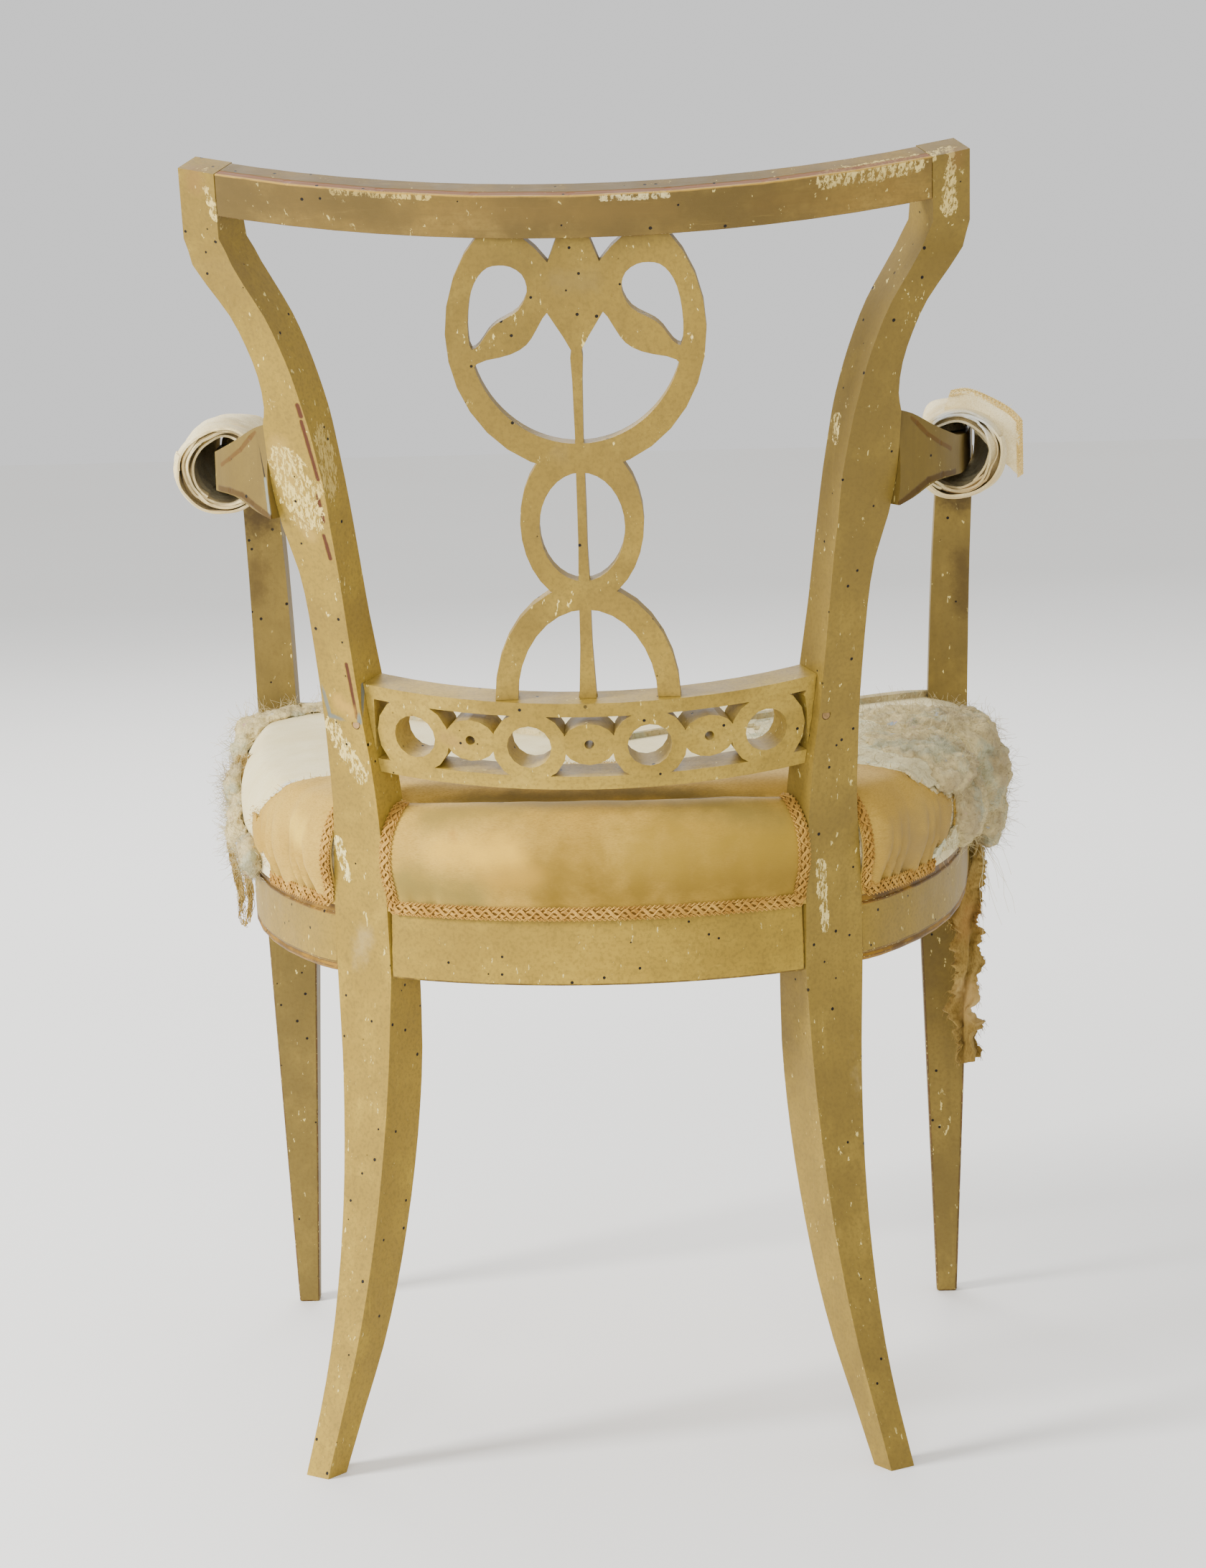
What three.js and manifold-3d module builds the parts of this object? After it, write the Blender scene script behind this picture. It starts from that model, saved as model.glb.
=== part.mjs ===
import * as THREE from "three";
import { mergeVertices } from "three/addons/utils/BufferGeometryUtils.js";
import Module from "manifold-3d";

const wasm = await Module();
wasm.setup();

// Open armchair with a dipped crest rail, a pierced splat and a pierced cross rail.
// Millimetres, +Z up, the sitter faces -Y. Left is the sitter's left, +X.

// Driving heights above the floor
const railBottom = 333;
const railHeight = 57;
const crossTop = 533.7;
const armJointTop = 708;
const kneeHeight = 813;
const crestBottom = 845;

// Driving widths and depths in plan
const seatHalfBack = 138.2;
const seatHalfFront = 261.5;
const seatDepth = 384;
const backHalfWidth = 228;
const backRake = 61;
const rearRailBow = 36;
const frontRailBow = 12;

// Clearances: the joint gap between neighbours, the run-out of cutters, the sink of a root in its own piece
const gap = 0.3;
const overrun = 60;
const rootSink = 3;

const railTop = railBottom + railHeight;
const tenonHeightShare = 0.42;
const tenonHeight = railBottom + railHeight * tenonHeightShare;
const UP = new THREE.Vector3(0, 0, 1);
const degrees = Math.PI / 180;
const circleSteps = 32;
const smallCircleSteps = 16;

// Tables, lofts and solids

function readTable(rows, at, column, sharp) {
  const last = rows.length - 1;
  let i = 0;
  while (i < last - 1 && at > rows[i + 1][0]) i += 1;
  const [p, q] = [rows[i], rows[i + 1]];
  const run = q[0] - p[0];
  const t = THREE.MathUtils.clamp((at - p[0]) / run, 0, 1);
  if (sharp) return THREE.MathUtils.lerp(p[column], q[column], t);
  const slope = (j) => {
    const before = rows[Math.max(j - 1, 0)];
    const after = rows[Math.min(j + 1, last)];
    return (after[column] - before[column]) / (after[0] - before[0]);
  };
  const square = t * t;
  const cube = square * t;
  return (2 * cube - 3 * square + 1) * p[column] + (cube - 2 * square + t) * run * slope(i)
    + (3 * square - 2 * cube) * q[column] + (cube - square) * run * slope(i + 1);
}

function orientOutwards(geometry) {
  const p = geometry.attributes.position;
  const index = geometry.index.array;
  const corner = [0, 1, 2].map(() => new THREE.Vector3());
  let volume = 0;
  for (let i = 0; i < index.length; i += 3) {
    corner.forEach((v, k) => v.fromBufferAttribute(p, index[i + k]));
    volume += corner[0].dot(corner[1].cross(corner[2]));
  }
  if (volume < 0) {
    for (let i = 0; i < index.length; i += 3) [index[i], index[i + 1]] = [index[i + 1], index[i]];
  }
  return geometry;
}

// Rings of equal count become one closed body: a tube with two caps, or a closed loop of rings
function loft(rings, loop = false) {
  const count = rings[0].length;
  const index = [];
  const spans = loop ? rings.length : rings.length - 1;
  for (let r = 0; r < spans; r += 1) {
    const next = (r + 1) % rings.length;
    for (let k = 0; k < count; k += 1) {
      const [a, b] = [r * count + k, r * count + ((k + 1) % count)];
      const [c, d] = [next * count + k, next * count + ((k + 1) % count)];
      index.push(a, b, d, a, d, c);
    }
  }
  const points = rings.flat();
  if (!loop) {
    const lastBase = (rings.length - 1) * count;
    capRing(rings[0], 0, points).forEach(([a, b, c]) => index.push(a, c, b));
    capRing(rings[rings.length - 1], lastBase, points).forEach(([a, b, c]) => index.push(a, b, c));
  }
  const geometry = new THREE.BufferGeometry().setFromPoints(points);
  geometry.setIndex(index);
  return orientOutwards(geometry);
}

// Triangles over a ring whose points start at base: cut as a polygon, or a fan where points lie in line
function capRing(ring, base, points) {
  const count = ring.length;
  const normal = new THREE.Vector3();
  ring.forEach((p, i) => normal.add(p.clone().cross(ring[(i + 1) % count])));
  normal.normalize();
  const across = ring[1].clone().sub(ring[0]).normalize();
  const up = normal.clone().cross(across);
  const flat = ring.map((p) => new THREE.Vector2(p.dot(across), p.dot(up)));
  const faces = THREE.ShapeUtils.triangulateShape(flat, []);
  if (faces.length === count - 2) return faces.map((face) => face.map((i) => i + base));
  points.push(ring.reduce((sum, p) => sum.add(p), new THREE.Vector3()).divideScalar(count));
  return ring.map((_, i) => [base + i, base + ((i + 1) % count), points.length - 1]);
}

function solidOf(geometry) {
  const bare = geometry.index ? geometry.clone() : geometry;
  bare.deleteAttribute("normal");
  bare.deleteAttribute("uv");
  const merged = mergeVertices(bare);
  return new wasm.Manifold(new wasm.Mesh({
    numProp: 3,
    vertProperties: new Float32Array(merged.attributes.position.array),
    triVerts: new Uint32Array(merged.index.array),
  }));
}

function geometryOf(solid) {
  const { vertProperties, triVerts } = solid.getMesh();
  const geometry = new THREE.BufferGeometry();
  geometry.setAttribute("position", new THREE.BufferAttribute(vertProperties, 3));
  geometry.setIndex(new THREE.BufferAttribute(triVerts, 1));
  return geometry;
}

const joined = (...solids) => solids.reduce((a, b) => a.add(b));
const cut = (solid, ...tools) => tools.reduce((a, b) => a.subtract(b), solid);

function mirrored(solid) {
  const geometry = geometryOf(solid);
  geometry.scale(-1, 1, 1);
  return solidOf(orientOutwards(geometry));
}

const bothSides = (solid) => solid.add(mirrored(solid));

// A box whose size is given along three directions, the first two square to each other
function boxAt(centre, along, across, length, width, height) {
  const third = along.clone().cross(across);
  const box = new THREE.BoxGeometry(length, width, height);
  box.applyMatrix4(new THREE.Matrix4().makeBasis(along, across, third).setPosition(centre));
  return solidOf(box);
}

// A round bar from one point to another
function bar(from, to, radius, steps) {
  const way = to.clone().sub(from);
  const cylinder = new THREE.CylinderGeometry(radius, radius, way.length(), steps);
  cylinder.applyQuaternion(new THREE.Quaternion().setFromUnitVectors(new THREE.Vector3(0, 1, 0),
    way.clone().normalize()));
  cylinder.translate(...from.clone().lerp(to, 1 / 2).toArray());
  return solidOf(cylinder);
}

// An outline drawn in a board's own plane, made as deep as asked and centred on that plane
function prism(shape, depth, matrix) {
  const geometry = new THREE.ExtrudeGeometry(shape, { depth, bevelEnabled: false, curveSegments: circleSteps });
  geometry.translate(0, 0, -depth / 2);
  geometry.applyMatrix4(matrix);
  return solidOf(orientOutwards(mergeVertices(bareGeometry(geometry))));
}

function bareGeometry(geometry) {
  geometry.deleteAttribute("normal");
  geometry.deleteAttribute("uv");
  return geometry;
}

function ellipse(x, y, radiusX, radiusY, steps = circleSteps) {
  return new THREE.Shape(new THREE.EllipseCurve(x, y, radiusX, radiusY).getPoints(steps).slice(1));
}

function rectangle(left, right, bottom, top) {
  return new THREE.Shape([[left, bottom], [right, bottom], [right, top], [left, top]]
    .map(([x, y]) => new THREE.Vector2(x, y)));
}

function polygon(points) {
  return new THREE.Shape(points.map(([x, y]) => new THREE.Vector2(x, y)));
}

// Crest rail: a board bent round an axis in its own leaning plane
const crest = {
  halfSpan: backHalfWidth, sagitta: 48, lean: 20 * degrees, thickness: 19.5, height: 29,
  rear: backRake, bottom: crestBottom, steps: 16,
};

// Cross rail: the same kind of board, pierced, set a little in front of the stiles' rear faces
const cross = {
  shortOfStile: 8.017, sagitta: 39, lean: 14 * degrees, thickness: 20.5, height: 61,
  setback: 3.4, steps: 16,
  ringEndMargin: 6.4, ringHole: 14.7, ringOuter: 25, endRingOuter: 28, ringHeight: 29.8,
  discLap: 3.2, discHigh: 14.5, discHeight: 32, discHole: 3.25,
  bayBottom: 9.3, bayTop: 51.5, bayEndBeyond: 3.5,
};

// A bent board's frame: place(s, h, t) gives the point at arc length s, height h, depth t from the rear face
function bentBoard(board) {
  const radius = (board.halfSpan ** 2 + board.sagitta ** 2) / (2 * board.sagitta);
  const back = new THREE.Vector3(0, Math.cos(board.lean), -Math.sin(board.lean));
  const rise = new THREE.Vector3(0, Math.sin(board.lean), Math.cos(board.lean));
  const origin = new THREE.Vector3(0, board.rear, board.bottom)
    .addScaledVector(back, board.sagitta - radius);
  const endAngle = Math.asin(board.halfSpan / radius);
  const place = (s, h, t) => {
    const angle = s / radius;
    return origin.clone().addScaledVector(back, (radius - t) * Math.cos(angle))
      .addScaledVector(rise, h).setX((radius - t) * Math.sin(angle));
  };
  // Matrix of a flat outline whose x runs along the arc and whose y runs up, at arc length s
  const frameAt = (s, h, t) => {
    const angle = s / radius;
    const x = new THREE.Vector3(Math.cos(angle), 0, 0).addScaledVector(back, -Math.sin(angle));
    return new THREE.Matrix4().makeBasis(x, rise, x.clone().cross(rise)).setPosition(place(s, h, t));
  };
  return { radius, back, rise, endAngle, place, frameAt, halfArc: radius * endAngle };
}

function boardLoft(board, frame, reach, grow = 0) {
  const [low, high] = [-grow, board.height + grow];
  const [rear, front] = [-grow, board.thickness + grow];
  const rings = [];
  for (let i = 0; i <= board.steps; i += 1) {
    const s = THREE.MathUtils.lerp(-reach, reach, i / board.steps);
    rings.push([[low, rear], [high, rear], [high, front], [low, front]].map(([h, t]) => frame.place(s, h, t)));
  }
  return solidOf(loft(rings));
}

const crestFrame = bentBoard(crest);

// Rear leg and stile in one piece: section rows by share of each zone's height
const stile = {
  width: 46.9, depth: 35.5, splayOut: 50.3, splayBack: 43.5,
  seatTurn: 36 * degrees, crestTurn: 27 * degrees, stepsPerRow: 2, topMargin: 14,
};
// Columns: height, inner face out, rear face back, width, depth, turn
const legShares = [
  [0, 1, 1, 0.405, 0.535, 0], [0.12, 0.8, 0.78, 0.418, 0.66, 0], [0.24, 0.604, 0.602, 0.471, 0.811, 0],
  [0.36, 0.443, 0.448, 0.542, 0.9, 0], [0.48, 0.31, 0.297, 0.62, 0.946, 0], [0.6, 0.207, 0.175, 0.7, 0.989, 0],
  [0.72, 0.123, 0.083, 0.79, 1, 0], [0.84, 0.06, 0.023, 0.878, 0.975, 0], [1, 0, 0, 1, 0.845, 0],
];
const lowerBackShares = [
  [0, 0, 0, 1, 0.845, 0], [0.284, 0.013, 0.044, 0.97, 0.789, 0], [0.433, 0.031, 0.09, 0.891, 0.761, 0.04],
  [0.582, 0.053, 0.134, 0.81, 0.761, 0.12], [0.731, 0.086, 0.2, 0.755, 0.761, 0.22],
  [0.856, 0.127, 0.257, 0.678, 0.806, 0.33], [1, 0.165, 0.328, 0.64, 0.845, 0.44],
];
const armBossShares = [
  [0, 0.165, 0.328, 0.64, 0.845, 0.44], [0.264, 0.219, 0.461, 0.627, 0.761, 0.52],
  [0.437, 0.252, 0.543, 0.676, 0.732, 0.57], [0.609, 0.294, 0.631, 0.812, 0.749, 0.64],
  [0.782, 0.332, 0.721, 0.87, 0.732, 0.72], [1, 0.418, 0.825, 0.748, 0.825, 0.81],
];
const flareShares = [
  [0, 0.418, 0.825, 0.748, 0.825, 0.81], [0.114, 0.455, 0.851, 0.627, 0.87, 0.84],
  [0.305, 0.517, 0.895, 0.556, 0.885, 0.9], [0.495, 0.598, 0.913, 0.542, 0.924, 0.95],
  [0.686, 0.697, 0.931, 0.556, 0.961, 0.98], [0.876, 0.833, 0.911, 0.606, 1.014, 1],
  [1, 0.915, 0.89, 0.642, 0.997, 1],
];
const blockShares = [
  [0, 0.915, 0, 0.642, 0.997, 1], [0.23, 1, 0, 0.57, 0.93, 1], [0.48, 1, 0, 0.57, 0.84, 1],
  [1, 1, 0, 0.57, 0.56, 1],
];
const blockTop = crestBottom + crest.height + stile.topMargin;
const stileZones = [
  { from: 0, to: railBottom, rows: legShares, out: stile.splayOut, rake: stile.splayBack },
  { from: railBottom, to: crossTop, rows: lowerBackShares },
  { from: crossTop, to: armJointTop, rows: armBossShares },
  { from: armJointTop, to: kneeHeight, rows: flareShares },
  { from: kneeHeight, to: blockTop, rows: blockShares, sharp: true },
];

function stileAt(z) {
  const zone = stileZones.find((part) => z <= part.to) ?? stileZones[stileZones.length - 1];
  const share = (z - zone.from) / (zone.to - zone.from);
  const read = (column) => readTable(zone.rows, share, column, zone.sharp);
  const rake = zone.rake ?? backRake;
  const raked = backRake + (z - crestBottom) * Math.tan(crest.lean);
  const turn = THREE.MathUtils.lerp(stile.seatTurn, stile.crestTurn, read(5));
  return {
    inner: new THREE.Vector3(seatHalfBack + (zone.out ?? backHalfWidth - seatHalfBack) * read(1),
      zone.sharp ? raked : rake * read(2), z),
    wide: new THREE.Vector3(Math.cos(turn), -Math.sin(turn), 0),
    rear: new THREE.Vector3(Math.sin(turn), Math.cos(turn), 0),
    width: stile.width * read(3),
    depth: stile.depth * read(4),
  };
}

// The stile's section at z, each face pushed out by its own amount
function stileRing(z, grow = {}) {
  const at = stileAt(z);
  const corner = (wide, rear) => at.inner.clone().addScaledVector(at.wide, wide).addScaledVector(at.rear, rear);
  const [low, high] = [-(grow.inner ?? 0), at.width + (grow.outer ?? 0)];
  const [front, back] = [-at.depth - (grow.front ?? 0), grow.back ?? 0];
  return [corner(low, back), corner(high, back), corner(high, front), corner(low, front)];
}

function stileHeights(from, to) {
  const heights = [from];
  stileZones.forEach((zone) => zone.rows.forEach((row, i) => {
    const next = zone.rows[Math.min(i + 1, zone.rows.length - 1)];
    for (let k = 0; k < stile.stepsPerRow; k += 1) {
      const share = THREE.MathUtils.lerp(row[0], next[0], k / stile.stepsPerRow);
      const z = THREE.MathUtils.lerp(zone.from, zone.to, share);
      if (z > heights[heights.length - 1] + gap && z < to - gap) heights.push(z);
    }
  }));
  return [...heights, to];
}

const stileBody = (from, to, grow) => solidOf(loft(stileHeights(from, to).map((z) => stileRing(z, grow))));

// Cutters that end a neighbour on the stile's inner or outer face
const insideFaceCutter = (from, to) => stileBody(from, to,
  { inner: gap, outer: overrun, front: overrun, back: overrun });
const outsideFaceCutter = (from, to) => stileBody(from, to,
  { inner: overrun, outer: gap, front: overrun, back: overrun });

const crossBoard = {
  ...cross, halfSpan: stileAt(crossTop).inner.x - cross.shortOfStile,
  rear: stileAt(crossTop).inner.y - cross.setback - cross.height * Math.sin(cross.lean),
  bottom: crossTop - cross.height * Math.cos(cross.lean),
};
const crossFrame = bentBoard(crossBoard);

// Tenons: each is a box along its own direction, and its mortise is the same box grown by the gap
function tenon(root, along, across, size, grow = 0) {
  const centre = root.clone().addScaledVector(along, (size.length + grow - rootSink) / 2);
  return boxAt(centre, along, across, size.length + rootSink + grow, size.thick + 2 * grow, size.high + 2 * grow);
}

// Points where rails and boards meet the stile, and the size of each tenon there
const tenonSize = {
  crest: { length: 16, thick: 9, high: 16 },
  cross: { length: 14, thick: 8, high: 38 },
  rearRail: { length: 20, thick: 8, high: 30 },
  sideRail: { length: 18, thick: 8, high: 30 },
  sideFront: { length: 18, thick: 8, high: 30 },
  frontRail: { length: 18, thick: 8, high: 30 },
  arm: { length: 13, thick: 9, high: 30 },
  post: { length: 16, radius: 6, steps: 16 },
};

function crestTenon(grow) {
  const size = tenonSize.crest;
  const root = crestFrame.place(crestFrame.halfArc, crest.height / 2, crest.thickness / 2);
  const along = new THREE.Vector3().setFromMatrixColumn(crestFrame.frameAt(crestFrame.halfArc, 0, 0), 0);
  return tenon(root, along, crestFrame.rise, { length: size.length, thick: size.high, high: size.thick }, grow);
}

function crossTenon(grow) {
  const size = tenonSize.cross;
  const root = crossFrame.place(crossFrame.halfArc, cross.height / 2, cross.thickness / 2);
  const along = new THREE.Vector3().setFromMatrixColumn(crossFrame.frameAt(crossFrame.halfArc, 0, 0), 0);
  return tenon(root, along, crossFrame.rise, { length: size.length, thick: size.high, high: size.thick }, grow);
}

// Seat rails follow one outline in plan: its half for +X runs from the rear centre to the front centre
const plan = {
  blockWide: 40, blockDeep: 40, blockProud: 1.5, rearSteps: 6, sideSteps: 10, frontSteps: 4, railThickness: 23,
};
const sideCurveShares = [[0, 0], [0.163, 0.043], [0.479, 0.181], [0.748, 0.371], [0.9, 0.61], [1, 1]];

function arcPoints(halfSpan, sagitta, y, sign, steps) {
  const radius = (halfSpan ** 2 + sagitta ** 2) / (2 * sagitta);
  const end = Math.asin(halfSpan / radius);
  return Array.from({ length: steps + 1 }, (_, i) => {
    const angle = end * i / steps;
    return new THREE.Vector3(radius * Math.sin(angle), y + sign * (radius * Math.cos(angle) - radius + sagitta), 0);
  });
}

function seatCorner() {
  return stileRing(railBottom)[1].clone().setZ(0);
}

function sidePoints() {
  const corner = seatCorner();
  const curve = new THREE.SplineCurve(sideCurveShares.map(([out, forward]) => new THREE.Vector2(
    THREE.MathUtils.lerp(corner.x, seatHalfFront, out), THREE.MathUtils.lerp(corner.y, -seatDepth, forward))));
  return curve.getPoints(plan.sideSteps).map((p) => new THREE.Vector3(p.x, p.y, 0));
}

const rearArc = arcPoints(seatHalfBack, rearRailBow, 0, 1, plan.rearSteps);
const sideLine = sidePoints();
const blockInner = seatHalfFront + plan.blockProud - plan.blockWide;
const blockFront = -seatDepth - plan.blockDeep;
const frontArc = arcPoints(blockInner, frontRailBow, blockFront, -1, plan.frontSteps).reverse();

const normalIn = (points, i, loop) => {
  const count = points.length;
  const before = points[loop ? (i + count - 1) % count : Math.max(i - 1, 0)];
  const after = points[loop ? (i + 1) % count : Math.min(i + 1, count - 1)];
  const way = after.clone().sub(before).setZ(0).normalize();
  return new THREE.Vector3(way.y, -way.x, 0).negate();
};

// A profile of [outwards, up] pairs swept along a line in plan
function sweep(points, profile, outwards) {
  return solidOf(loft(points.map((p, i) => {
    const normal = normalIn(points, i, false).multiplyScalar(outwards);
    return profile.map(([out, up]) => p.clone().addScaledVector(normal, out).setZ(up));
  })));
}

function extended(points, reachStart, reachEnd) {
  const first = points[0].clone().sub(points[1]).normalize().multiplyScalar(reachStart).add(points[0]);
  const last = points[points.length - 1].clone();
  last.add(last.clone().sub(points[points.length - 2]).normalize().multiplyScalar(reachEnd));
  return [...(reachStart ? [first] : []), ...points, ...(reachEnd ? [last] : [])];
}

const railProfile = [[-plan.railThickness, railBottom], [0, railBottom], [0, railTop], [-plan.railThickness, railTop]];

function rearRailTenon(grow) {
  const at = stileAt(railBottom);
  const root = at.inner.clone().addScaledVector(at.rear, -at.depth / 2).setZ(tenonHeight);
  return tenon(root, at.wide, at.rear, tenonSize.rearRail, grow);
}

function sideRailTenon(grow) {
  const at = stileAt(railBottom);
  const root = at.inner.clone().addScaledVector(at.rear, -at.depth / 2).addScaledVector(at.wide, at.width)
    .setZ(tenonHeight);
  return tenon(root, at.wide.clone().negate(), at.rear, tenonSize.sideRail, grow);
}

function rearRail() {
  const points = [...rearArc.slice(1).map((p) => p.clone().setX(-p.x)).reverse(), ...rearArc];
  const rail = sweep(extended(points, plan.railThickness, plan.railThickness), railProfile, 1);
  const trimmed = cut(rail, bothSides(insideFaceCutter(railBottom - gap, railTop + gap)));
  return joined(trimmed, bothSides(rearRailTenon(0)));
}

// Moulded edges of the side rails: a round bead below, a sunk band under the trimming
const sideMoulding = { beadHigh: 5, beadIn: 1.6, grooveDrop: 11.5, grooveHigh: 6, grooveDeep: 1.2, arris: 0.6 };

function sideRailProfile() {
  const { beadHigh, beadIn, grooveDrop, grooveHigh, grooveDeep, arris } = sideMoulding;
  const inside = -plan.railThickness;
  const groove = railTop - grooveDrop;
  return [[inside, railBottom], [-beadIn, railBottom], [-beadIn / 3, railBottom + beadHigh / 4],
    [0, railBottom + beadHigh / 2], [-beadIn / 3, railBottom + beadHigh * 3 / 4],
    [-grooveDeep, railBottom + beadHigh], [0, railBottom + beadHigh + grooveDeep],
    [0, groove - grooveHigh], [-grooveDeep, groove - grooveHigh + arris], [-grooveDeep, groove - arris],
    [0, groove], [0, railTop], [inside, railTop]];
}

const sideTenonIn = plan.railThickness / 2;

function sideFrontTenon(grow) {
  const root = new THREE.Vector3(seatHalfFront - sideTenonIn, -seatDepth, tenonHeight);
  return tenon(root, new THREE.Vector3(0, -1, 0), new THREE.Vector3(1, 0, 0), tenonSize.sideFront, grow);
}

function frontRailTenon(grow) {
  const root = new THREE.Vector3(blockInner, blockFront + plan.railThickness / 2, tenonHeight);
  return tenon(root, new THREE.Vector3(1, 0, 0), new THREE.Vector3(0, 1, 0), tenonSize.frontRail, grow);
}

function sideRail() {
  const rail = sweep(extended(sideLine, plan.railThickness, 0), sideRailProfile(), 1);
  const front = boxAt(new THREE.Vector3(seatHalfFront, -seatDepth + gap - overrun, railBottom),
    new THREE.Vector3(1, 0, 0), new THREE.Vector3(0, 1, 0), 2 * overrun, 2 * overrun, 4 * railHeight);
  const trimmed = cut(rail, outsideFaceCutter(railBottom - gap, railTop + gap), front);
  return joined(trimmed, sideRailTenon(0), sideFrontTenon(0));
}

function frontRail() {
  const half = frontArc;
  const points = [...half, ...half.slice(0, -1).map((p) => p.clone().setX(-p.x)).reverse()];
  const rail = sweep(points.slice().reverse(), sideRailProfile(), -1);
  const end = boxAt(new THREE.Vector3(blockInner - gap + overrun, blockFront, railBottom),
    new THREE.Vector3(1, 0, 0), new THREE.Vector3(0, 1, 0), 2 * overrun, 4 * overrun, 4 * railHeight);
  return joined(cut(rail, bothSides(end)), bothSides(frontRailTenon(0)));
}

// Front leg: a square block at the rails over a tapered leg
const frontLeg = {
  shoulder: 1, shoulderHigh: 6, footSize: 15, footFromOutside: 15.5, footFromRear: 8,
};

function frontLegSolid() {
  const outer = seatHalfFront + plan.blockProud;
  const ring = (left, right, front, rear, z) => [[left, front], [right, front], [right, rear], [left, rear]]
    .map(([x, y]) => new THREE.Vector3(x, y, z));
  const { shoulder, shoulderHigh, footSize, footFromOutside, footFromRear } = frontLeg;
  const footOuter = outer - footFromOutside;
  const footRear = -seatDepth - footFromRear;
  const rings = [
    ring(footOuter - footSize, footOuter, footRear - footSize, footRear, 0),
    ring(blockInner, outer - shoulder, blockFront + shoulder, -seatDepth - gap, railBottom - shoulderHigh),
    ring(blockInner, outer, blockFront, -seatDepth, railBottom),
    ring(blockInner, outer, blockFront, -seatDepth, railTop),
  ];
  return cut(solidOf(loft(rings)), sideFrontTenon(gap), frontRailTenon(gap), postTenon("foot", gap));
}

// Arm: swept along its outer line from the stile's boss to past the post, deep at the boss, slender in front
const arm = {
  width: 27.5, frontTop: 660, frontBottom: 638, bellyBottom: 659.5, tipBeyondPost: 12, endOut: 267.5,
  steps: 30, rootReach: 9,
};
// Columns: out, forward, top, bottom
const armShares = [
  [0, 0, 1, 0.37], [0.16, 0.019, 0.92, 0.58], [0.38, 0.048, 0.73, 0.95], [0.615, 0.106, 0.54, 1],
  [0.694, 0.19, 0.45, 0.86], [0.788, 0.324, 0.35, 0.72], [0.867, 0.502, 0.25, 0.51],
  [0.945, 0.724, 0.125, 0.26], [1, 0.924, 0, 0], [1, 1, 0, 0],
];

// Arm post: stands on the block, leans out a little, carries the arm
const post = {
  width: 29.5, topWidth: 25.5, depth: 28, inset: 31.5, topOut: 12.5, midOut: 6, midShare: 0.6, steps: 6,
};

function armLine() {
  const z = (armJointTop + arm.bellyBottom) / 2;
  const root = stileRing(z)[1].setZ(0);
  const tip = -seatDepth - post.depth - arm.tipBeyondPost;
  const mix = (low, high) => (share) => THREE.MathUtils.lerp(low, high, share);
  const [x, y] = [mix(root.x, arm.endOut), mix(root.y, tip)];
  const [top, bottom] = [mix(arm.frontTop, armJointTop), mix(arm.frontBottom, arm.bellyBottom)];
  const place = new THREE.SplineCurve(armShares.map((row) => new THREE.Vector2(x(row[0]), y(row[1]))));
  const heights = new THREE.SplineCurve(armShares.map((row) => new THREE.Vector2(top(row[2]), bottom(row[3]))));
  const stations = Array.from({ length: arm.steps + 1 }, (_, i) => {
    const share = i / arm.steps;
    const [p, h, way] = [place.getPoint(share), heights.getPoint(share), place.getTangent(share)];
    return {
      outer: new THREE.Vector3(p.x, p.y, 0), inwards: new THREE.Vector3(way.y, -way.x, 0), top: h.x, bottom: h.y,
    };
  });
  const at = stileAt(z);
  const first = { ...stations[0], outer: stations[0].outer.clone().addScaledVector(at.wide, -arm.rootReach),
    inwards: at.rear.clone().negate() };
  stations[0].inwards = at.rear.clone().negate();
  return [first, ...stations];
}

function armSolid(grow = 0, growSides = grow) {
  return solidOf(loft(armLine().map(({ outer, inwards, top, bottom }) => {
    const near = outer.clone().addScaledVector(inwards, -growSides);
    const far = outer.clone().addScaledVector(inwards, arm.width + growSides);
    return [near.clone().setZ(bottom - grow), near.clone().setZ(top + grow), far.clone().setZ(top + grow),
      far.clone().setZ(bottom - grow)];
  })));
}

function armTenon(grow) {
  const z = (armJointTop + arm.bellyBottom) / 2;
  const at = stileAt(z);
  const root = at.inner.clone().addScaledVector(at.wide, at.width).addScaledVector(at.rear, -at.depth / 2);
  return tenon(root, at.wide.clone().negate(), at.rear, tenonSize.arm, grow);
}

function armPiece() {
  const trimmed = cut(armSolid(), outsideFaceCutter(arm.frontBottom - overrun, armJointTop + overrun / 2));
  return cut(joined(trimmed, armTenon(0)), postTenon("top", gap));
}

function postAt(share) {
  const rows = [[0, 0, post.width], [post.midShare, post.midOut, (post.width + post.topWidth) / 2],
    [1, post.topOut, post.topWidth]];
  const inner = seatHalfFront - post.inset + readTable(rows, share, 1);
  return {
    inner, outer: inner + readTable(rows, share, 2), z: THREE.MathUtils.lerp(railTop, arm.frontBottom, share),
  };
}

function postRing(share, grow) {
  const at = postAt(share);
  const [front, rear] = [-seatDepth - post.depth - grow, -seatDepth + grow];
  return [[at.inner - grow, front], [at.outer + grow, front], [at.outer + grow, rear], [at.inner - grow, rear]]
    .map(([x, y]) => new THREE.Vector3(x, y, at.z));
}

function postTenon(end, grow) {
  const at = postAt(end === "foot" ? 0 : 1);
  const sign = end === "foot" ? -1 : 1;
  const size = tenonSize.post;
  const centre = new THREE.Vector3((at.inner + at.outer) / 2, -seatDepth - post.depth / 2, at.z);
  return bar(centre.clone().addScaledVector(UP, -sign * 4 * rootSink), centre.clone()
    .addScaledVector(UP, sign * (size.length + grow)), size.radius + grow, size.steps);
}

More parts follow.
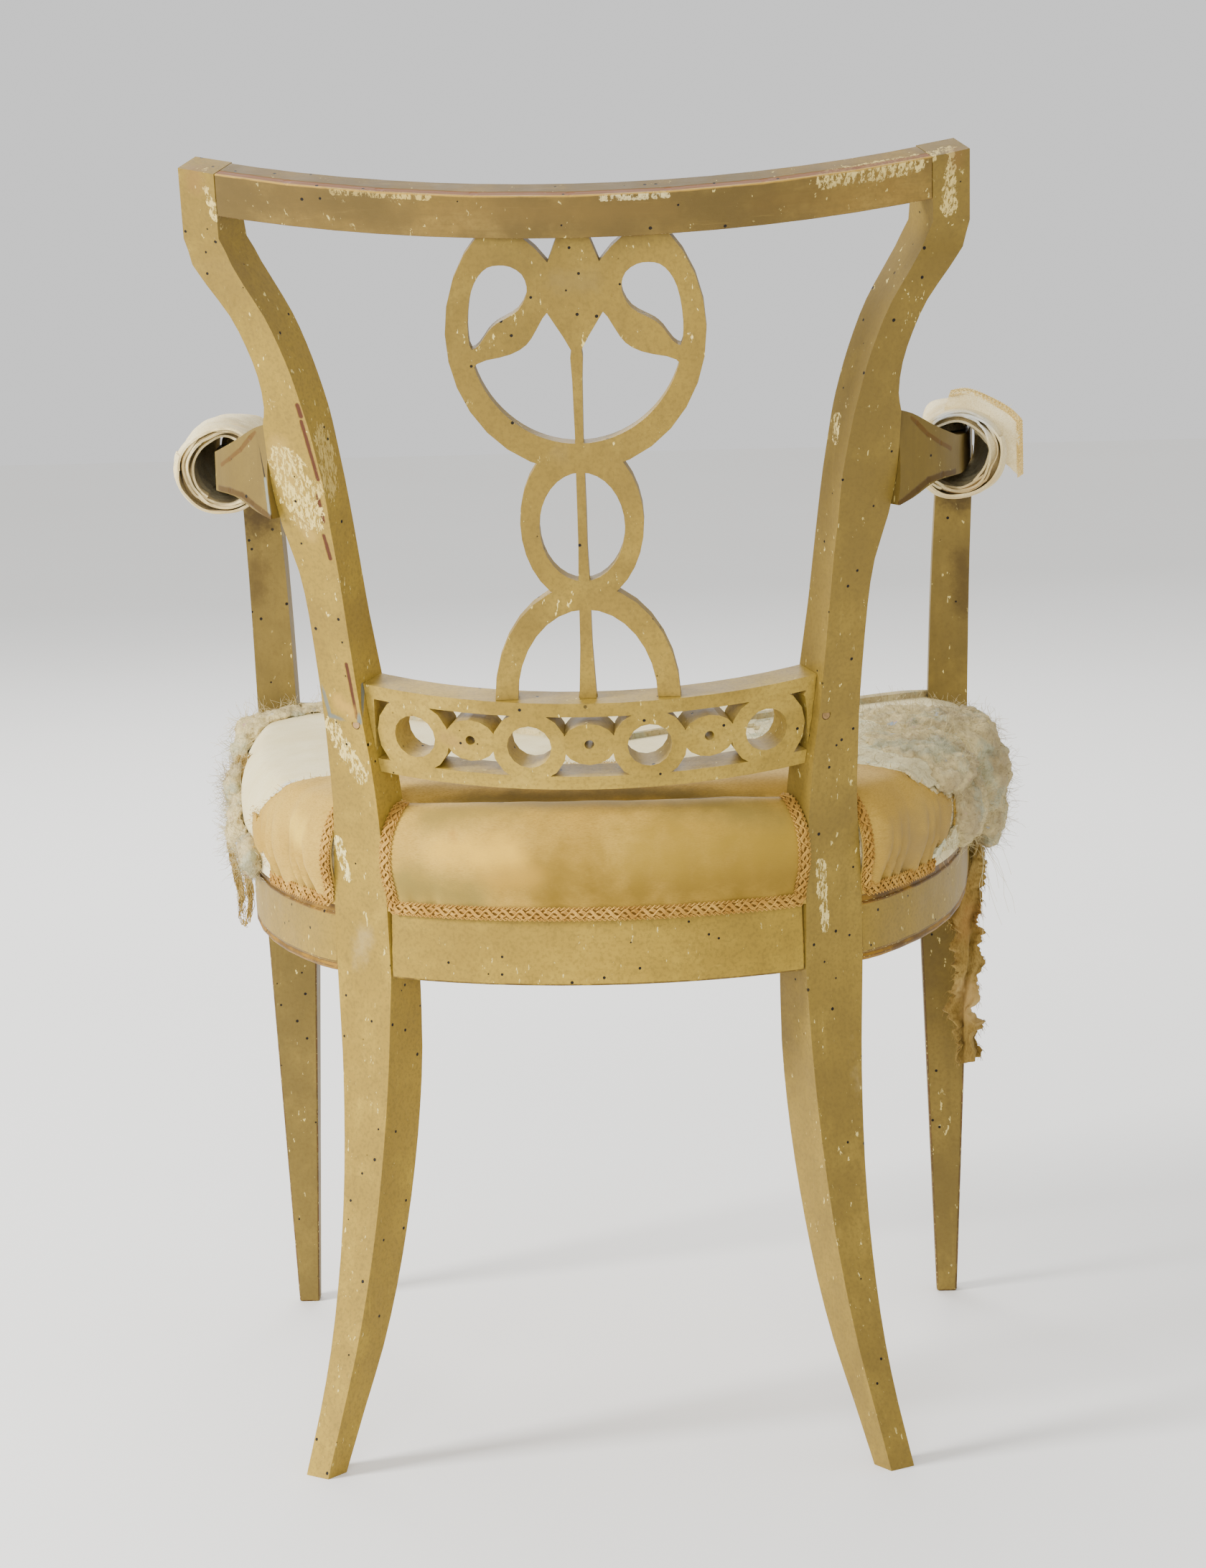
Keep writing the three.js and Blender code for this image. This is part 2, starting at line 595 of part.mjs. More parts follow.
function postBody(grow = 0) {
  const rings = Array.from({ length: post.steps + 1 }, (_, i) => postRing(i / post.steps, grow));
  rings[0].forEach((p) => p.setZ(railTop + gap - grow));
  rings[post.steps].forEach((p) => p.setZ(arm.frontBottom + rootSink + grow));
  return solidOf(loft(rings));
}

function armPost() {
  return joined(cut(postBody(), armSolid(gap, rootSink)), postTenon("foot", 0), postTenon("top", 0));
}

// Splat: a flat board whose outline is three rings one above the other, cut through by a stem and leaves
const splat = {
  thickness: 10, tongueThick: 6, tongueHigh: 8, footTenonHigh: 5,
  upperWide: 83, upperHoleWide: 68.3, middleWide: 39.8, middleHoleWide: 27.5, lowerWide: 60.3, lowerHoleWide: 45.5,
  lobeInner: 33.5, calyxHalf: 9.5, notchOut: 16.3, lobeEdgeOut: 24,
};
// Centres and half-heights of the rings and their holes, as shares of the height between the rails
const riseShares = {
  upperShare: 0.796, upperHighShare: 0.298, upperHoleHighShare: 0.239, middleShare: 0.387, middleHighShare: 0.178,
  middleHoleShare: 0.377, middleHoleHighShare: 0.118, lowerHighShare: 0.252, lowerHoleHighShare: 0.197,
  notchDownShare: 0.058, lobeEdgeDownShare: 0.0275,
};
// Stem half-width down the splat, as shares of the upper ring's height and of the calyx
const stemShares = [
  [0.775, 0.27], [0.74, 0.42], [0.69, 0.34], [0.57, 0.28], [0.4, 0.32], [0.33, 0.31], [0.27, 0.37], [0.114, 0.42],
  [0, 0.6],
];

const splatFrame = (() => {
  const inset = (board, frame) => (board.thickness - splat.thickness
    + frame.radius * (1 - Math.cos(splat.lowerWide / frame.radius))) / 2;
  const foot = crossFrame.place(0, cross.height, inset(cross, crossFrame));
  const head = crestFrame.place(0, 0, inset(crest, crestFrame));
  const rise = head.clone().sub(foot).normalize();
  const across = new THREE.Vector3(1, 0, 0);
  const centre = foot.clone().addScaledVector(rise.clone().cross(across), -splat.thickness / 2);
  return { height: head.distanceTo(foot),
    matrix: new THREE.Matrix4().makeBasis(across, rise, across.clone().cross(rise)).setPosition(centre) };
})();

const splatRise = Object.fromEntries(Object.entries(riseShares)
  .map(([name, share]) => [name.replace("Share", ""), share * splatFrame.height]));
const splatPrism = (shape, depth = splat.thickness) => prism(shape, depth, splatFrame.matrix);

// Openings of the upper ring, in shares of the ring's inner half-width and half-height from its centre
const eyeShares = [
  [0.697, 0.595], [0.798, 0.577], [0.887, 0.5], [0.953, 0.374], [0.993, 0.173], [0.999, -0.027], [0.972, -0.142],
  [0.903, -0.104], [0.813, 0.014], [0.736, 0.082], [0.644, 0.128], [0.527, 0.196], [0.451, 0.314], [0.439, 0.405],
  [0.48, 0.511], [0.587, 0.581],
];
const leafEdgeShares = [
  [0.981, -0.297], [0.861, -0.243], [0.65, -0.203], [0.499, -0.139], [0.406, -0.047], [0.307, 0.115], [0.242, 0.186],
];
const calyxShares = [[0.117, -0.047], [0.047, -0.169], [0, -0.2]];

const ringPoint = ([out, up]) => new THREE.Vector2(out * splat.upperHoleWide,
  splatRise.upper + up * splatRise.upperHoleHigh);

function eyeOpening() {
  return new THREE.Shape(new THREE.CatmullRomCurve3(eyeShares.map((row) => {
    const p = ringPoint(row);
    return new THREE.Vector3(p.x, p.y, 0);
  }), true).getPoints(circleSteps).slice(1).map((p) => new THREE.Vector2(p.x, p.y)));
}

const stemHalf = (height) => splat.calyxHalf * readTable(stemShares.map(([up, half]) => [-up, half]),
  -height / splatFrame.height, 1);

// The space between stem and ring under the leaf, drawn down the stem and back along the ring
function underLeafOpening() {
  const startAngle = -Math.PI / 2;
  const end = ringPoint(leafEdgeShares[0]);
  const endAngle = Math.asin((end.y - splatRise.upper) / splatRise.upperHoleHigh);
  const ring = new THREE.EllipseCurve(0, splatRise.upper, splat.upperHoleWide, splatRise.upperHoleHigh,
    startAngle, endAngle).getPoints(circleSteps / 2);
  const leaf = new THREE.SplineCurve(leafEdgeShares.map(ringPoint)).getPoints(circleSteps / 3);
  return new THREE.Shape([...ring, ...leaf.slice(1), ...calyxShares.map(ringPoint)]);
}

function crestNotch() {
  const top = splatFrame.height + splat.thickness;
  return polygon([[splat.notchOut, splatFrame.height - splatRise.notchDown],
    [splat.lobeEdgeOut, splatFrame.height - splatRise.lobeEdgeDown], [splat.lobeInner, splatFrame.height],
    [splat.lobeInner, top], [splat.calyxHalf, top], [splat.calyxHalf, splatFrame.height]]);
}

function stemSolid() {
  const side = stemShares.map(([up]) => up * splatFrame.height).map((height) => [stemHalf(height), height]);
  return splatPrism(polygon([...side, ...side.slice().reverse().map(([x, y]) => [-x, y])]));
}

function splatPiece() {
  const body = joined(
    splatPrism(ellipse(0, splatRise.upper, splat.upperWide, splatRise.upperHigh)),
    splatPrism(ellipse(0, splatRise.middle, splat.middleWide, splatRise.middleHigh)),
    splatPrism(ellipse(0, 0, splat.lowerWide, splatRise.lowerHigh)),
  );
  const across = new THREE.Vector3(1, 0, 0);
  const below = boxAt(crossFrame.place(0, cross.height + gap - splatRise.lowerHigh, 0), across, crossFrame.back,
    4 * splat.upperWide, 2 * overrun, 2 * splatRise.lowerHigh);
  const above = boxAt(crestFrame.place(0, splatRise.upperHigh - gap, 0), across, crestFrame.back,
    4 * splat.upperWide, 2 * overrun, 2 * splatRise.upperHigh);
  const deep = splat.thickness * 2;
  const holes = bothSides(joined(splatPrism(eyeOpening(), deep), splatPrism(underLeafOpening(), deep),
    splatPrism(crestNotch(), deep)));
  const rounds = joined(
    splatPrism(ellipse(0, splatRise.middleHole, splat.middleHoleWide, splatRise.middleHoleHigh), deep),
    splatPrism(ellipse(0, 0, splat.lowerHoleWide, splatRise.lowerHoleHigh), deep),
  );
  const pierced = joined(cut(body, holes, rounds), stemSolid());
  return joined(cut(pierced, below, above), ...splatTongues(0));
}

// Tongues that enter the crest rail above and the cross rail below
function splatTongues(grow) {
  const { tongueHigh, tongueThick, footTenonHigh, lobeInner, calyxHalf, lowerWide, lowerHoleWide } = splat;
  const top = splatFrame.height;
  const lobe = lobeInner + 2 * rootSink;
  const head = [[-calyxHalf + rootSink, calyxHalf - rootSink], [lobe, lobe + 5 * rootSink],
    [-lobe - 5 * rootSink, -lobe]];
  const foot = [[-stemHalf(0), stemHalf(0)], [lowerHoleWide + gap, lowerWide - gap],
    [gap - lowerWide, -lowerHoleWide - gap]];
  const thick = tongueThick + 2 * grow;
  const boxes = (spans, low, high) => spans.map(([left, right]) => splatPrism(
    rectangle(left - grow, right + grow, low, high), thick));
  return [...boxes(head, top - rootSink, top + tongueHigh + grow),
    ...boxes(foot, -footTenonHigh - grow, rootSink)];
}

function crestRail() {
  const rail = boardLoft(crest, crestFrame, crestFrame.halfArc + crest.thickness / 2);
  const trimmed = cut(rail, bothSides(insideFaceCutter(kneeHeight, blockTop)));
  return cut(joined(trimmed, bothSides(crestTenon(0))), ...splatTongues(gap));
}

// Piercing of the cross rail: round holes in linked rings, small discs between them, gaps over and under
function crossRailCutters() {
  const depth = cross.thickness * 3;
  const frame = (s) => crossFrame.frameAt(s, 0, cross.thickness / 2);
  const at = (shape, s) => prism(shape, depth, frame(s));
  const ringTool = (offset, radius, s) => at(ellipse(offset, cross.ringHeight, radius, radius, smallCircleSteps), s);
  const ringPitch = (crossBoard.halfSpan - cross.ringEndMargin) / 3.5;
  const discWide = ringPitch - cross.ringOuter + cross.discLap;
  const tools = [];
  [1, 3].forEach((k) => {
    const s = k * ringPitch;
    tools.push(ringTool(0, cross.ringHole, s), ringTool(0, cross.ringHole, -s));
  });
  [-2, 0, 2].forEach((k) => {
    const s = k * ringPitch;
    const bay = cut(at(rectangle(-ringPitch, ringPitch, cross.bayBottom, cross.bayTop), s),
      ringTool(-ringPitch, cross.ringOuter, s), ringTool(ringPitch, cross.ringOuter, s),
      at(ellipse(0, cross.discHeight, discWide, cross.discHigh, smallCircleSteps), s));
    tools.push(bay, at(ellipse(0, cross.discHeight, cross.discHole, cross.discHole, peg.steps), s));
  });
  const s = 3 * ringPitch;
  const endSpan = crossBoard.halfSpan + cross.bayEndBeyond - s;
  const end = cut(at(rectangle(0, endSpan, cross.bayBottom, cross.bayTop), s), ringTool(0, cross.endRingOuter, s));
  return [...tools, bothSides(end)];
}

function crossRail() {
  const rail = boardLoft(cross, crossFrame, crossFrame.halfArc + cross.thickness);
  const trimmed = cut(rail, bothSides(insideFaceCutter(crossBoard.bottom - overrun / 2, crossTop + overrun / 2)));
  return cut(joined(trimmed, bothSides(crossTenon(0))), ...crossRailCutters(), ...splatTongues(gap),
    bothSides(crossPeg(gap)));
}

// A wooden peg goes through each stile and the cross rail's tenon
const peg = { radius: 3.2, steps: 12, inset: 6, short: 6 };

function crossPeg(grow = 0) {
  const root = crossFrame.place(crossFrame.halfArc + peg.inset, cross.height / 2, cross.thickness / 2);
  const at = stileAt(root.z);
  const rearDistance = root.clone().sub(at.inner).dot(at.rear);
  const rear = root.clone().addScaledVector(at.rear, -rearDistance + grow);
  const front = rear.clone().addScaledVector(at.rear, -at.depth + peg.short - 2 * grow);
  return bar(rear, front, peg.radius + grow, peg.steps);
}

function rearLeg() {
  const body = stileBody(0, blockTop);
  const topCutter = boxAt(crestFrame.place(0, crest.height + overrun, 0), new THREE.Vector3(1, 0, 0),
    crestFrame.back, 6 * backHalfWidth, 4 * overrun, 2 * overrun);
  return cut(body, topCutter, crestTenon(gap), crossTenon(gap), crossPeg(gap), rearRailTenon(gap),
    sideRailTenon(gap), armTenon(gap));
}

// Corner braces of plain wood between neighbouring rails, under the seat
const brace = { thick: 20, high: 38, drop: 8, rearSpan: 120, frontSpan: 118, fromSide: 32.5, fromFront: 29 };

// The rails and all that lies outside them
const railsGrown = () => {
  const inside = -plan.railThickness - gap;
  const [low, high] = [railBottom - gap, railTop + gap];
  const profile = [[inside, low], [overrun, low], [overrun, high], [inside, high]];
  return {
    rear: sweep(extended(rearArc, 0, plan.railThickness), profile, 1),
    side: sweep(extended(sideLine, plan.railThickness, plan.railThickness), profile, 1),
    front: sweep(extended(frontArc, plan.railThickness, 0).slice().reverse(), profile, -1),
  };
};

function rearBrace() {
  const z = railTop - brace.drop - brace.high / 2;
  const at = stileAt(z);
  const centre = at.inner.clone().addScaledVector(at.wide, at.width / 2)
    .addScaledVector(at.rear, -at.depth - gap - brace.thick / 2);
  const { rear, side } = railsGrown();
  const beyond = boxAt(centre, at.wide, at.rear, brace.rearSpan, brace.thick, brace.high);
  return cut(beyond, rear, side, stileBody(z - brace.high, z + brace.high, { inner: gap, outer: gap, front: gap }));
}

function frontBrace() {
  const z = railTop - brace.drop - brace.high / 2;
  const along = new THREE.Vector3(1, 1, 0).normalize();
  const across = new THREE.Vector3(1, -1, 0).normalize();
  const centre = new THREE.Vector3(seatHalfFront - plan.railThickness - brace.fromSide,
    blockFront + plan.railThickness + brace.fromFront, z);
  const { side, front } = railsGrown();
  return cut(boxAt(centre, along, across, brace.frontSpan, brace.thick, brace.high), side, front);
}

// Webbing: straps woven over and under one another, their ends on the rails
const webbing = { width: 52, thickness: 1.2, weave: 1.7, landing: 16 };
const webAcrossShares = [-0.666, 0, 0.666];
const webDownShares = [0.24, 0.521, 0.807];

function strapHeights(crossings, low) {
  const half = webbing.width / 2;
  const rows = [];
  crossings.forEach((place, i) => {
    const lift = (i % 2 === 0) === low ? 0 : webbing.weave;
    rows.push([place - half, lift], [place + half, lift]);
  });
  return rows;
}

function strap(from, to, side, crossings, low) {
  const way = to.clone().sub(from);
  const length = way.length();
  way.normalize();
  const rows = [[0, 0], ...strapHeights(crossings, low), [length, 0]];
  return solidOf(loft(rows.map(([distance, lift]) => {
    const z = railTop + gap + lift;
    const centre = from.clone().addScaledVector(way, distance);
    return [[-1, 0], [1, 0], [1, 1], [-1, 1]].map(([wide, high]) => centre.clone()
      .addScaledVector(side, wide * webbing.width / 2).setZ(z + high * webbing.thickness));
  })));
}

const sideAt = (y) => {
  const rows = sideLine.map((p) => [-p.y, p.x]);
  return readTable(rows, -y, 1);
};

function webbingStraps() {
  const straps = [];
  const X = new THREE.Vector3(1, 0, 0);
  const Y = new THREE.Vector3(0, 1, 0);
  const across = webAcrossShares.map((share) => share * seatHalfBack);
  const down = webDownShares.map((share) => -share * seatDepth);
  down.forEach((y, i) => {
    const reach = sideAt(y) - plan.railThickness + webbing.landing;
    const crossings = across.map((x) => x + reach);
    straps.push([`webbing_across_${i + 1}`, strap(new THREE.Vector3(-reach, y, 0), new THREE.Vector3(reach, y, 0),
      Y, crossings, i % 2 === 0)]);
  });
  across.forEach((x, i) => {
    const front = blockFront + plan.railThickness - webbing.landing;
    const rear = rearRailBow * (1 - (x / seatHalfBack) ** 2) - plan.railThickness + webbing.landing / 2;
    const crossings = down.slice().reverse().map((y) => y - front);
    straps.push([`webbing_down_${i + 1}`, strap(new THREE.Vector3(x, front, 0), new THREE.Vector3(x, rear, 0),
      X, crossings, i % 2 !== 0)]);
  });
  return straps;
}

// Seat: one surface drawn from the rails' outline; every layer is a copy of it at its own lift
const seat = {
  lap: 11, crown: 68, bulge: 6.6, hessianUnder: 5, hessianThick: 1.5, hessianInset: 4,
  calicoThick: 0.8, coverThick: 1, cornerRound: 12,
};
const calicoLift = gap + seat.calicoThick;
const coverLift = calicoLift + gap + seat.coverThick;
// Columns: outwards as share of the bulge, up as share of the crown, inwards as share of the way to the centre
const padShares = [
  [0.1, 0, 0], [0.95, 0.27, 0], [0.75, 0.55, 0], [-0.6, 0.76, 0], [-2.4, 0.87, 0], [-4.6, 0.94, 0.1],
  [-4.6, 0.98, 0.45], [-4.6, 1, 0.9],
];

function seatOutline() {
  const lead = seatCorner();
  const rearCorner = rearArc[rearArc.length - 1];
  const half = [...rearArc, rearCorner.clone().lerp(lead, 1 / 2), ...sideLine,
    new THREE.Vector3(seatHalfFront, blockFront + seat.cornerRound, 0),
    new THREE.Vector3(seatHalfFront - seat.cornerRound, blockFront, 0), ...frontArc];
  return [...half, ...half.slice(1, -1).map((p) => p.clone().setX(-p.x)).reverse()];
}

const seatPoints = seatOutline();
const seatCentre = new THREE.Vector3(0, -(seatDepth - rearRailBow) / 2, 0);

const seatGrid = (() => {
  const rows = [[0, -seat.lap / seat.crown, 0], ...padShares];
  const places = rows.map(([out, up, share]) => seatPoints.map((p, k) => p.clone()
    .addScaledVector(normalIn(seatPoints, k, true), out * seat.bulge).lerp(seatCentre, share)
    .setZ(railTop + up * seat.crown)));
  const last = rows.length - 1;
  const count = seatPoints.length;
  return places.map((ring, j) => ring.map((point, k) => {
    const round = ring[(k + 1) % count].clone().sub(ring[(k + count - 1) % count]);
    const up = places[Math.min(j + 1, last)][k].clone().sub(places[Math.max(j - 1, 0)][k]);
    return { point, normal: up.cross(round).normalize() };
  }));
})();

// Everything under the seat surface raised by lift, down to its rim or further by the skirt
function dome(lift, skirt = 0) {
  const rings = seatGrid.map((ring) => ring.map(({ point, normal }) => point.clone().addScaledVector(normal, lift)));
  rings[0].forEach((p, k) => p.copy(seatPoints[k]).addScaledVector(normalIn(seatPoints, k, true), lift)
    .setZ(railTop - seat.lap));
  const hem = skirt ? [rings[0].map((p) => p.clone().setZ(railTop - seat.lap - skirt))] : [];
  return solidOf(loft([...hem, ...rings]));
}

function planSlab(points, low, high) {
  const rings = [low, high].map((z) => points.map(([x, y]) => new THREE.Vector3(x, y, z)));
  return solidOf(loft(rings));
}

const farOut = 4 * backHalfWidth;
const slab = (low, high) => planSlab([[-farOut, -farOut], [farOut, -farOut], [farOut, farOut], [-farOut, farOut]],
  low, high);

// Room for the stiles and the arm posts through every soft layer
function softCutters() {
  const low = railBottom - overrun;
  const high = crossTop;
  const room = stileBody(low, high, { inner: gap, outer: gap, front: gap, back: overrun });
  const shares = Array.from({ length: post.steps }, (_, i) => i / post.steps);
  const corner = [railBottom, ...shares.map((share) => postAt(share).z)].map((z, i) => {
    const inner = postAt(shares[Math.max(0, i - 1)]).inner - gap;
    const rear = -seatDepth + gap;
    return [[inner, rear], [farOut, rear], [farOut, -farOut], [inner, -farOut]]
      .map(([x, y]) => new THREE.Vector3(x, y, z));
  });
  return bothSides(joined(room, solidOf(loft(corner))));
}

const softRoom = softCutters();
const shell = (inner, outer) => cut(dome(outer), dome(inner, overrun));

function insetSlab(low, high) {
  const inset = (p, k) => p.clone().addScaledVector(normalIn(seatPoints, k, true), -seat.hessianInset);
  return cut(planSlab(seatPoints.map(inset).map((p) => [p.x, p.y]), low, high), softRoom);
}

const hessian = () => insetSlab(railTop + seat.hessianUnder, railTop + seat.hessianUnder + seat.hessianThick);

function seatStuffing() {
  const bottom = railTop + seat.hessianUnder + seat.hessianThick + gap;
  return cut(dome(0), slab(railBottom - overrun, bottom), softRoom);
}

const calico = () => cut(shell(gap, calicoLift), softRoom);

// The top cover is left only over the back part of the seat, torn off along a ragged line
// Columns: out as share of the front half-width, forward as share of the depth
const tornEdgeShares = [
  [-1.16, -0.38], [-0.93, -0.36], [-0.895, -0.3], [-0.81, -0.245], [-0.6, -0.26], [-0.35, -0.235], [-0.1, -0.255],
  [0.2, -0.24], [0.5, -0.262], [0.81, -0.262], [0.895, -0.295], [0.93, -0.35], [1.16, -0.37],
];

function behindTear(reach = 0) {
  const edge = tornEdgeShares.map(([out, back]) => [out * seatHalfFront, back * seatDepth - reach]);
  return planSlab([[edge[0][0], farOut], ...edge, [edge[edge.length - 1][0], farOut]],
    railBottom - overrun, crossTop);
}

const seatCover = () => cut(shell(calicoLift + gap, coverLift), softRoom).intersect(behindTear());

// Gimp: braid over the cover's edge, along the rails and up beside the stiles
const gimp = { width: 10, thickness: 2.5, low: 12, riseInside: 41, riseOutside: 47 };

function gimpBand(region) {
  const inner = coverLift + gap;
  return cut(shell(inner, inner + gimp.thickness), softRoom).intersect(region).intersect(behindTear());
}

function gimpRear() {
  const low = railTop - gimp.low;
  const border = stileBody(low, railTop + gimp.riseInside, { inner: gimp.width, back: 2 * gimp.width });
  const region = joined(slab(low, low + gimp.width), bothSides(border));
  const inside = cut(gimpBand(region), bothSides(insideFaceCutter(low - gap, railTop + gimp.riseInside + gap)));
  const half = seatCorner().x;
  return inside.intersect(planSlab([[-half, -half], [half, -half], [half, half], [-half, half]],
    railBottom, crossTop));
}

function gimpSide() {
  const low = railTop - gimp.low;
  const border = stileBody(low, railTop + gimp.riseOutside, { outer: gimp.width, back: 2 * gimp.width });
  const region = joined(slab(low, low + gimp.width), border);
  const outside = cut(gimpBand(region), outsideFaceCutter(low - gap, railTop + gimp.riseOutside + gap));
  return outside.intersect(planSlab([[seatHalfBack, -farOut], [farOut, -farOut], [farOut, farOut],
    [seatHalfBack, farOut]], railBottom, crossTop));
}

// Loose wadding: overlapping lumps, cut to lie on the seat
// Columns: out, forward, up, half-width, half-depth, half-height, as shares of front half-width, depth and crown
const lumpSteps = { round: 8, down: 6 };
const waddingRightShares = [
  [0.8, 0.45, 0.94, 0.14, 0.15, 0.15], [0.88, 0.44, 0.72, 0.12, 0.16, 0.28], [0.95, 0.5, 0.3, 0.075, 0.16, 0.44],
  [0.822, 0.698, 0.912, 0.176, 0.12, 0.191], [0.941, 0.729, 0.735, 0.138, 0.135, 0.309],
  [1.025, 0.74, 0.353, 0.076, 0.13, 0.5], [1.033, 0.755, -0.059, 0.057, 0.099, 0.412],
  [0.979, 0.828, 0.706, 0.084, 0.068, 0.294],
];
const waddingLeftShares = [
  [0.811, 0.958, 0.868, 0.07, 0.036, 0.18], [0.902, 0.953, 0.838, 0.084, 0.039, 0.191],
  [0.987, 0.948, 0.75, 0.076, 0.042, 0.221], [1.025, 0.917, 0.559, 0.042, 0.052, 0.221],
  [1.02, 0.79, 0.33, 0.048, 0.11, 0.26], [0.985, 0.6, 0.12, 0.045, 0.14, 0.32], [0.935, 0.45, 0, 0.045, 0.1, 0.3],
];

function wadding(lumps) {
  const balls = lumps.map(([out, forward, up, wide, deep, high]) => {
    const ball = new THREE.SphereGeometry(1, lumpSteps.round, lumpSteps.down);
    ball.scale(wide * seatHalfFront, deep * seatDepth, high * seat.crown);
    ball.translate(out * seatHalfFront, -forward * seatDepth, railTop + up * seat.crown);
    return solidOf(ball);
  });
  const cover = dome(coverLift + gap, railHeight).intersect(behindTear(gap));
  return cut(joined(...balls), dome(calicoLift + gap, railHeight), cover, softRoom);
}

// Torn cloth. Columns: the middle line out, forward and up as shares of front half-width, depth and rail top,
// then the way from the middle to one edge as shares of the half-width
const torn = { thickness: 1.2, halfWidth: 14 };
const stripRightShares = [
  [1.01, 0.906, 1.005, 0.143, -0.929, 0], [1.013, 0.911, 0.928, 0.286, -0.857, 0],
  [1.002, 0.914, 0.856, 0.571, -0.5, 0], [0.979, 0.911, 0.769, 0.786, -0.214, 0],
  [0.987, 0.919, 0.672, 0.643, 0.357, 0.071], [0.971, 0.911, 0.585, 0.714, -0.286, 0],
  [0.987, 0.917, 0.477, 0.5, 0.214, 0.143],
];
const stripLeftShares = [
  [1.002, 0.771, 1.118, 0.571, 1.286, -0.286], [1.029, 0.776, 1.062, 0.357, 1.429, -0.143],
  [1.04, 0.781, 1, 0.286, 1.357, 0], [1.036, 0.779, 0.928, 0.5, 1.071, 0],
  [1.021, 0.784, 0.862, 0.429, 0.857, 0.071], [1.025, 0.779, 0.795, 0.286, 0.571, 0.143],
];

function strip(rows, grow = 0) {
  const middles = rows.map(([out, forward, up]) => new THREE.Vector3(out * seatHalfFront, -forward * seatDepth,
    up * railTop));
  const rings = rows.map(([, , , out, forward, up], i) => {
    const edge = new THREE.Vector3(out, -forward, up).multiplyScalar(torn.halfWidth);
    const half = edge.clone().setLength(edge.length() + grow);
    const down = middles[Math.min(i + 1, rows.length - 1)].clone().sub(middles[Math.max(i - 1, 0)]);
    const face = half.clone().cross(down).setLength(torn.thickness / 2 + grow);
    return [[-1, -1], [1, -1], [1, 1], [-1, 1]].map(([wide, deep]) => middles[i].clone()
      .addScaledVector(half, wide).addScaledVector(face, deep));
  });
  return solidOf(loft(rings));
}

const hangingStrip = (rows) => cut(strip(rows), dome(calicoLift + gap, railHeight));

// Arm pads and the cotton wrapped round them
const armPad = { from: 110, to: 290, halfWidth: 12, high: 13, ringSteps: 8 };
const wrap = { from: 66, to: 215, radius: 29.5, wall: 2, outwards: 10, frontOutwards: 4, ringSteps: 14 };

function armStations(from, to) {
  return armLine().filter(({ outer }) => -outer.y >= from && -outer.y <= to);
}

function padSolid(grow = 0) {
  return solidOf(loft(armStations(armPad.from, armPad.to).map(({ outer, inwards, top }, i, list) => {
    const end = i === 0 || i === list.length - 1 ? 1 / 2 : 1;
    const centre = outer.clone().addScaledVector(inwards, arm.width / 2).setZ(top + gap - grow);
    return Array.from({ length: armPad.ringSteps + 1 }, (_, k) => {
      const angle = Math.PI * k / armPad.ringSteps;
      return centre.clone().addScaledVector(inwards, (armPad.halfWidth * end + grow) * Math.cos(angle))
        .addScaledVector(UP, (armPad.high * end + 2 * grow) * Math.sin(angle));
    });
  })));
}

function tube(radius, reach = 0) {
  const stations = armStations(wrap.from, wrap.to);
  const rings = stations.map(({ outer, inwards, top, bottom }, i) => {
    const share = i / (stations.length - 1);
    const out = THREE.MathUtils.lerp(wrap.outwards, wrap.frontOutwards, share);
    const rise = THREE.MathUtils.lerp(0, armPad.high / 2, share);
    const centre = outer.clone().addScaledVector(inwards, arm.width / 2 - out).setZ((top + bottom) / 2 + rise);
    return Array.from({ length: wrap.ringSteps }, (_, k) => {
      const angle = 2 * Math.PI * k / wrap.ringSteps;
      return centre.clone().addScaledVector(inwards, radius * Math.cos(angle))
        .addScaledVector(UP, radius * Math.sin(angle));
    });
  });
  if (reach) {
    const shift = (ring, near) => ring.map((p, k) => p.clone().add(p.clone().sub(near[k]).normalize()
      .multiplyScalar(reach)));
    rings.unshift(shift(rings[0], rings[1]));
    rings.push(shift(rings[rings.length - 1], rings[rings.length - 2]));
  }
  return solidOf(loft(rings));
}

const armWrap = () => cut(tube(wrap.radius), tube(wrap.radius - wrap.wall, rootSink), armSolid(gap), padSolid(gap));

// Loose end of the right wrap, standing out from it
const tailShares = [
  [1.017, 0.24, 1.754, 0.5, 0, 0.929], [1.067, 0.237, 1.736, 0.214, 0.071, 1.214], [1.105, 0.234, 1.713, 0, 0, 1.286],
];

const tailPiece = () => cut(strip(tailShares), tube(wrap.radius + gap));

// Scene: every piece is its own mesh with its own material
const looks = {
  paint: ["#bda97a", 0.6], cloth: ["#d8c9a0", 0.95], calico: ["#e6ddc6", 0.95], flock: ["#d5d3c4", 1],
  braid: ["#c9a86a", 0.9], webbing: ["#b79a6b", 0.95], hessian: ["#a98b5c", 0.95], wood: ["#9a7a4e", 0.7],
  cotton: ["#efeadd", 0.95], thread: ["#c6a05c", 0.95],
};
const chair = new THREE.Group();

function add(name, solid, [color, roughness]) {
  const mesh = new THREE.Mesh(geometryOf(solid), new THREE.MeshStandardMaterial({ color, roughness }));
  mesh.name = name;
  chair.add(mesh);
}

function addPair(name, solid, look) {
  add(`${name}_left`, solid, look);
  add(`${name}_right`, mirrored(solid), look);
}

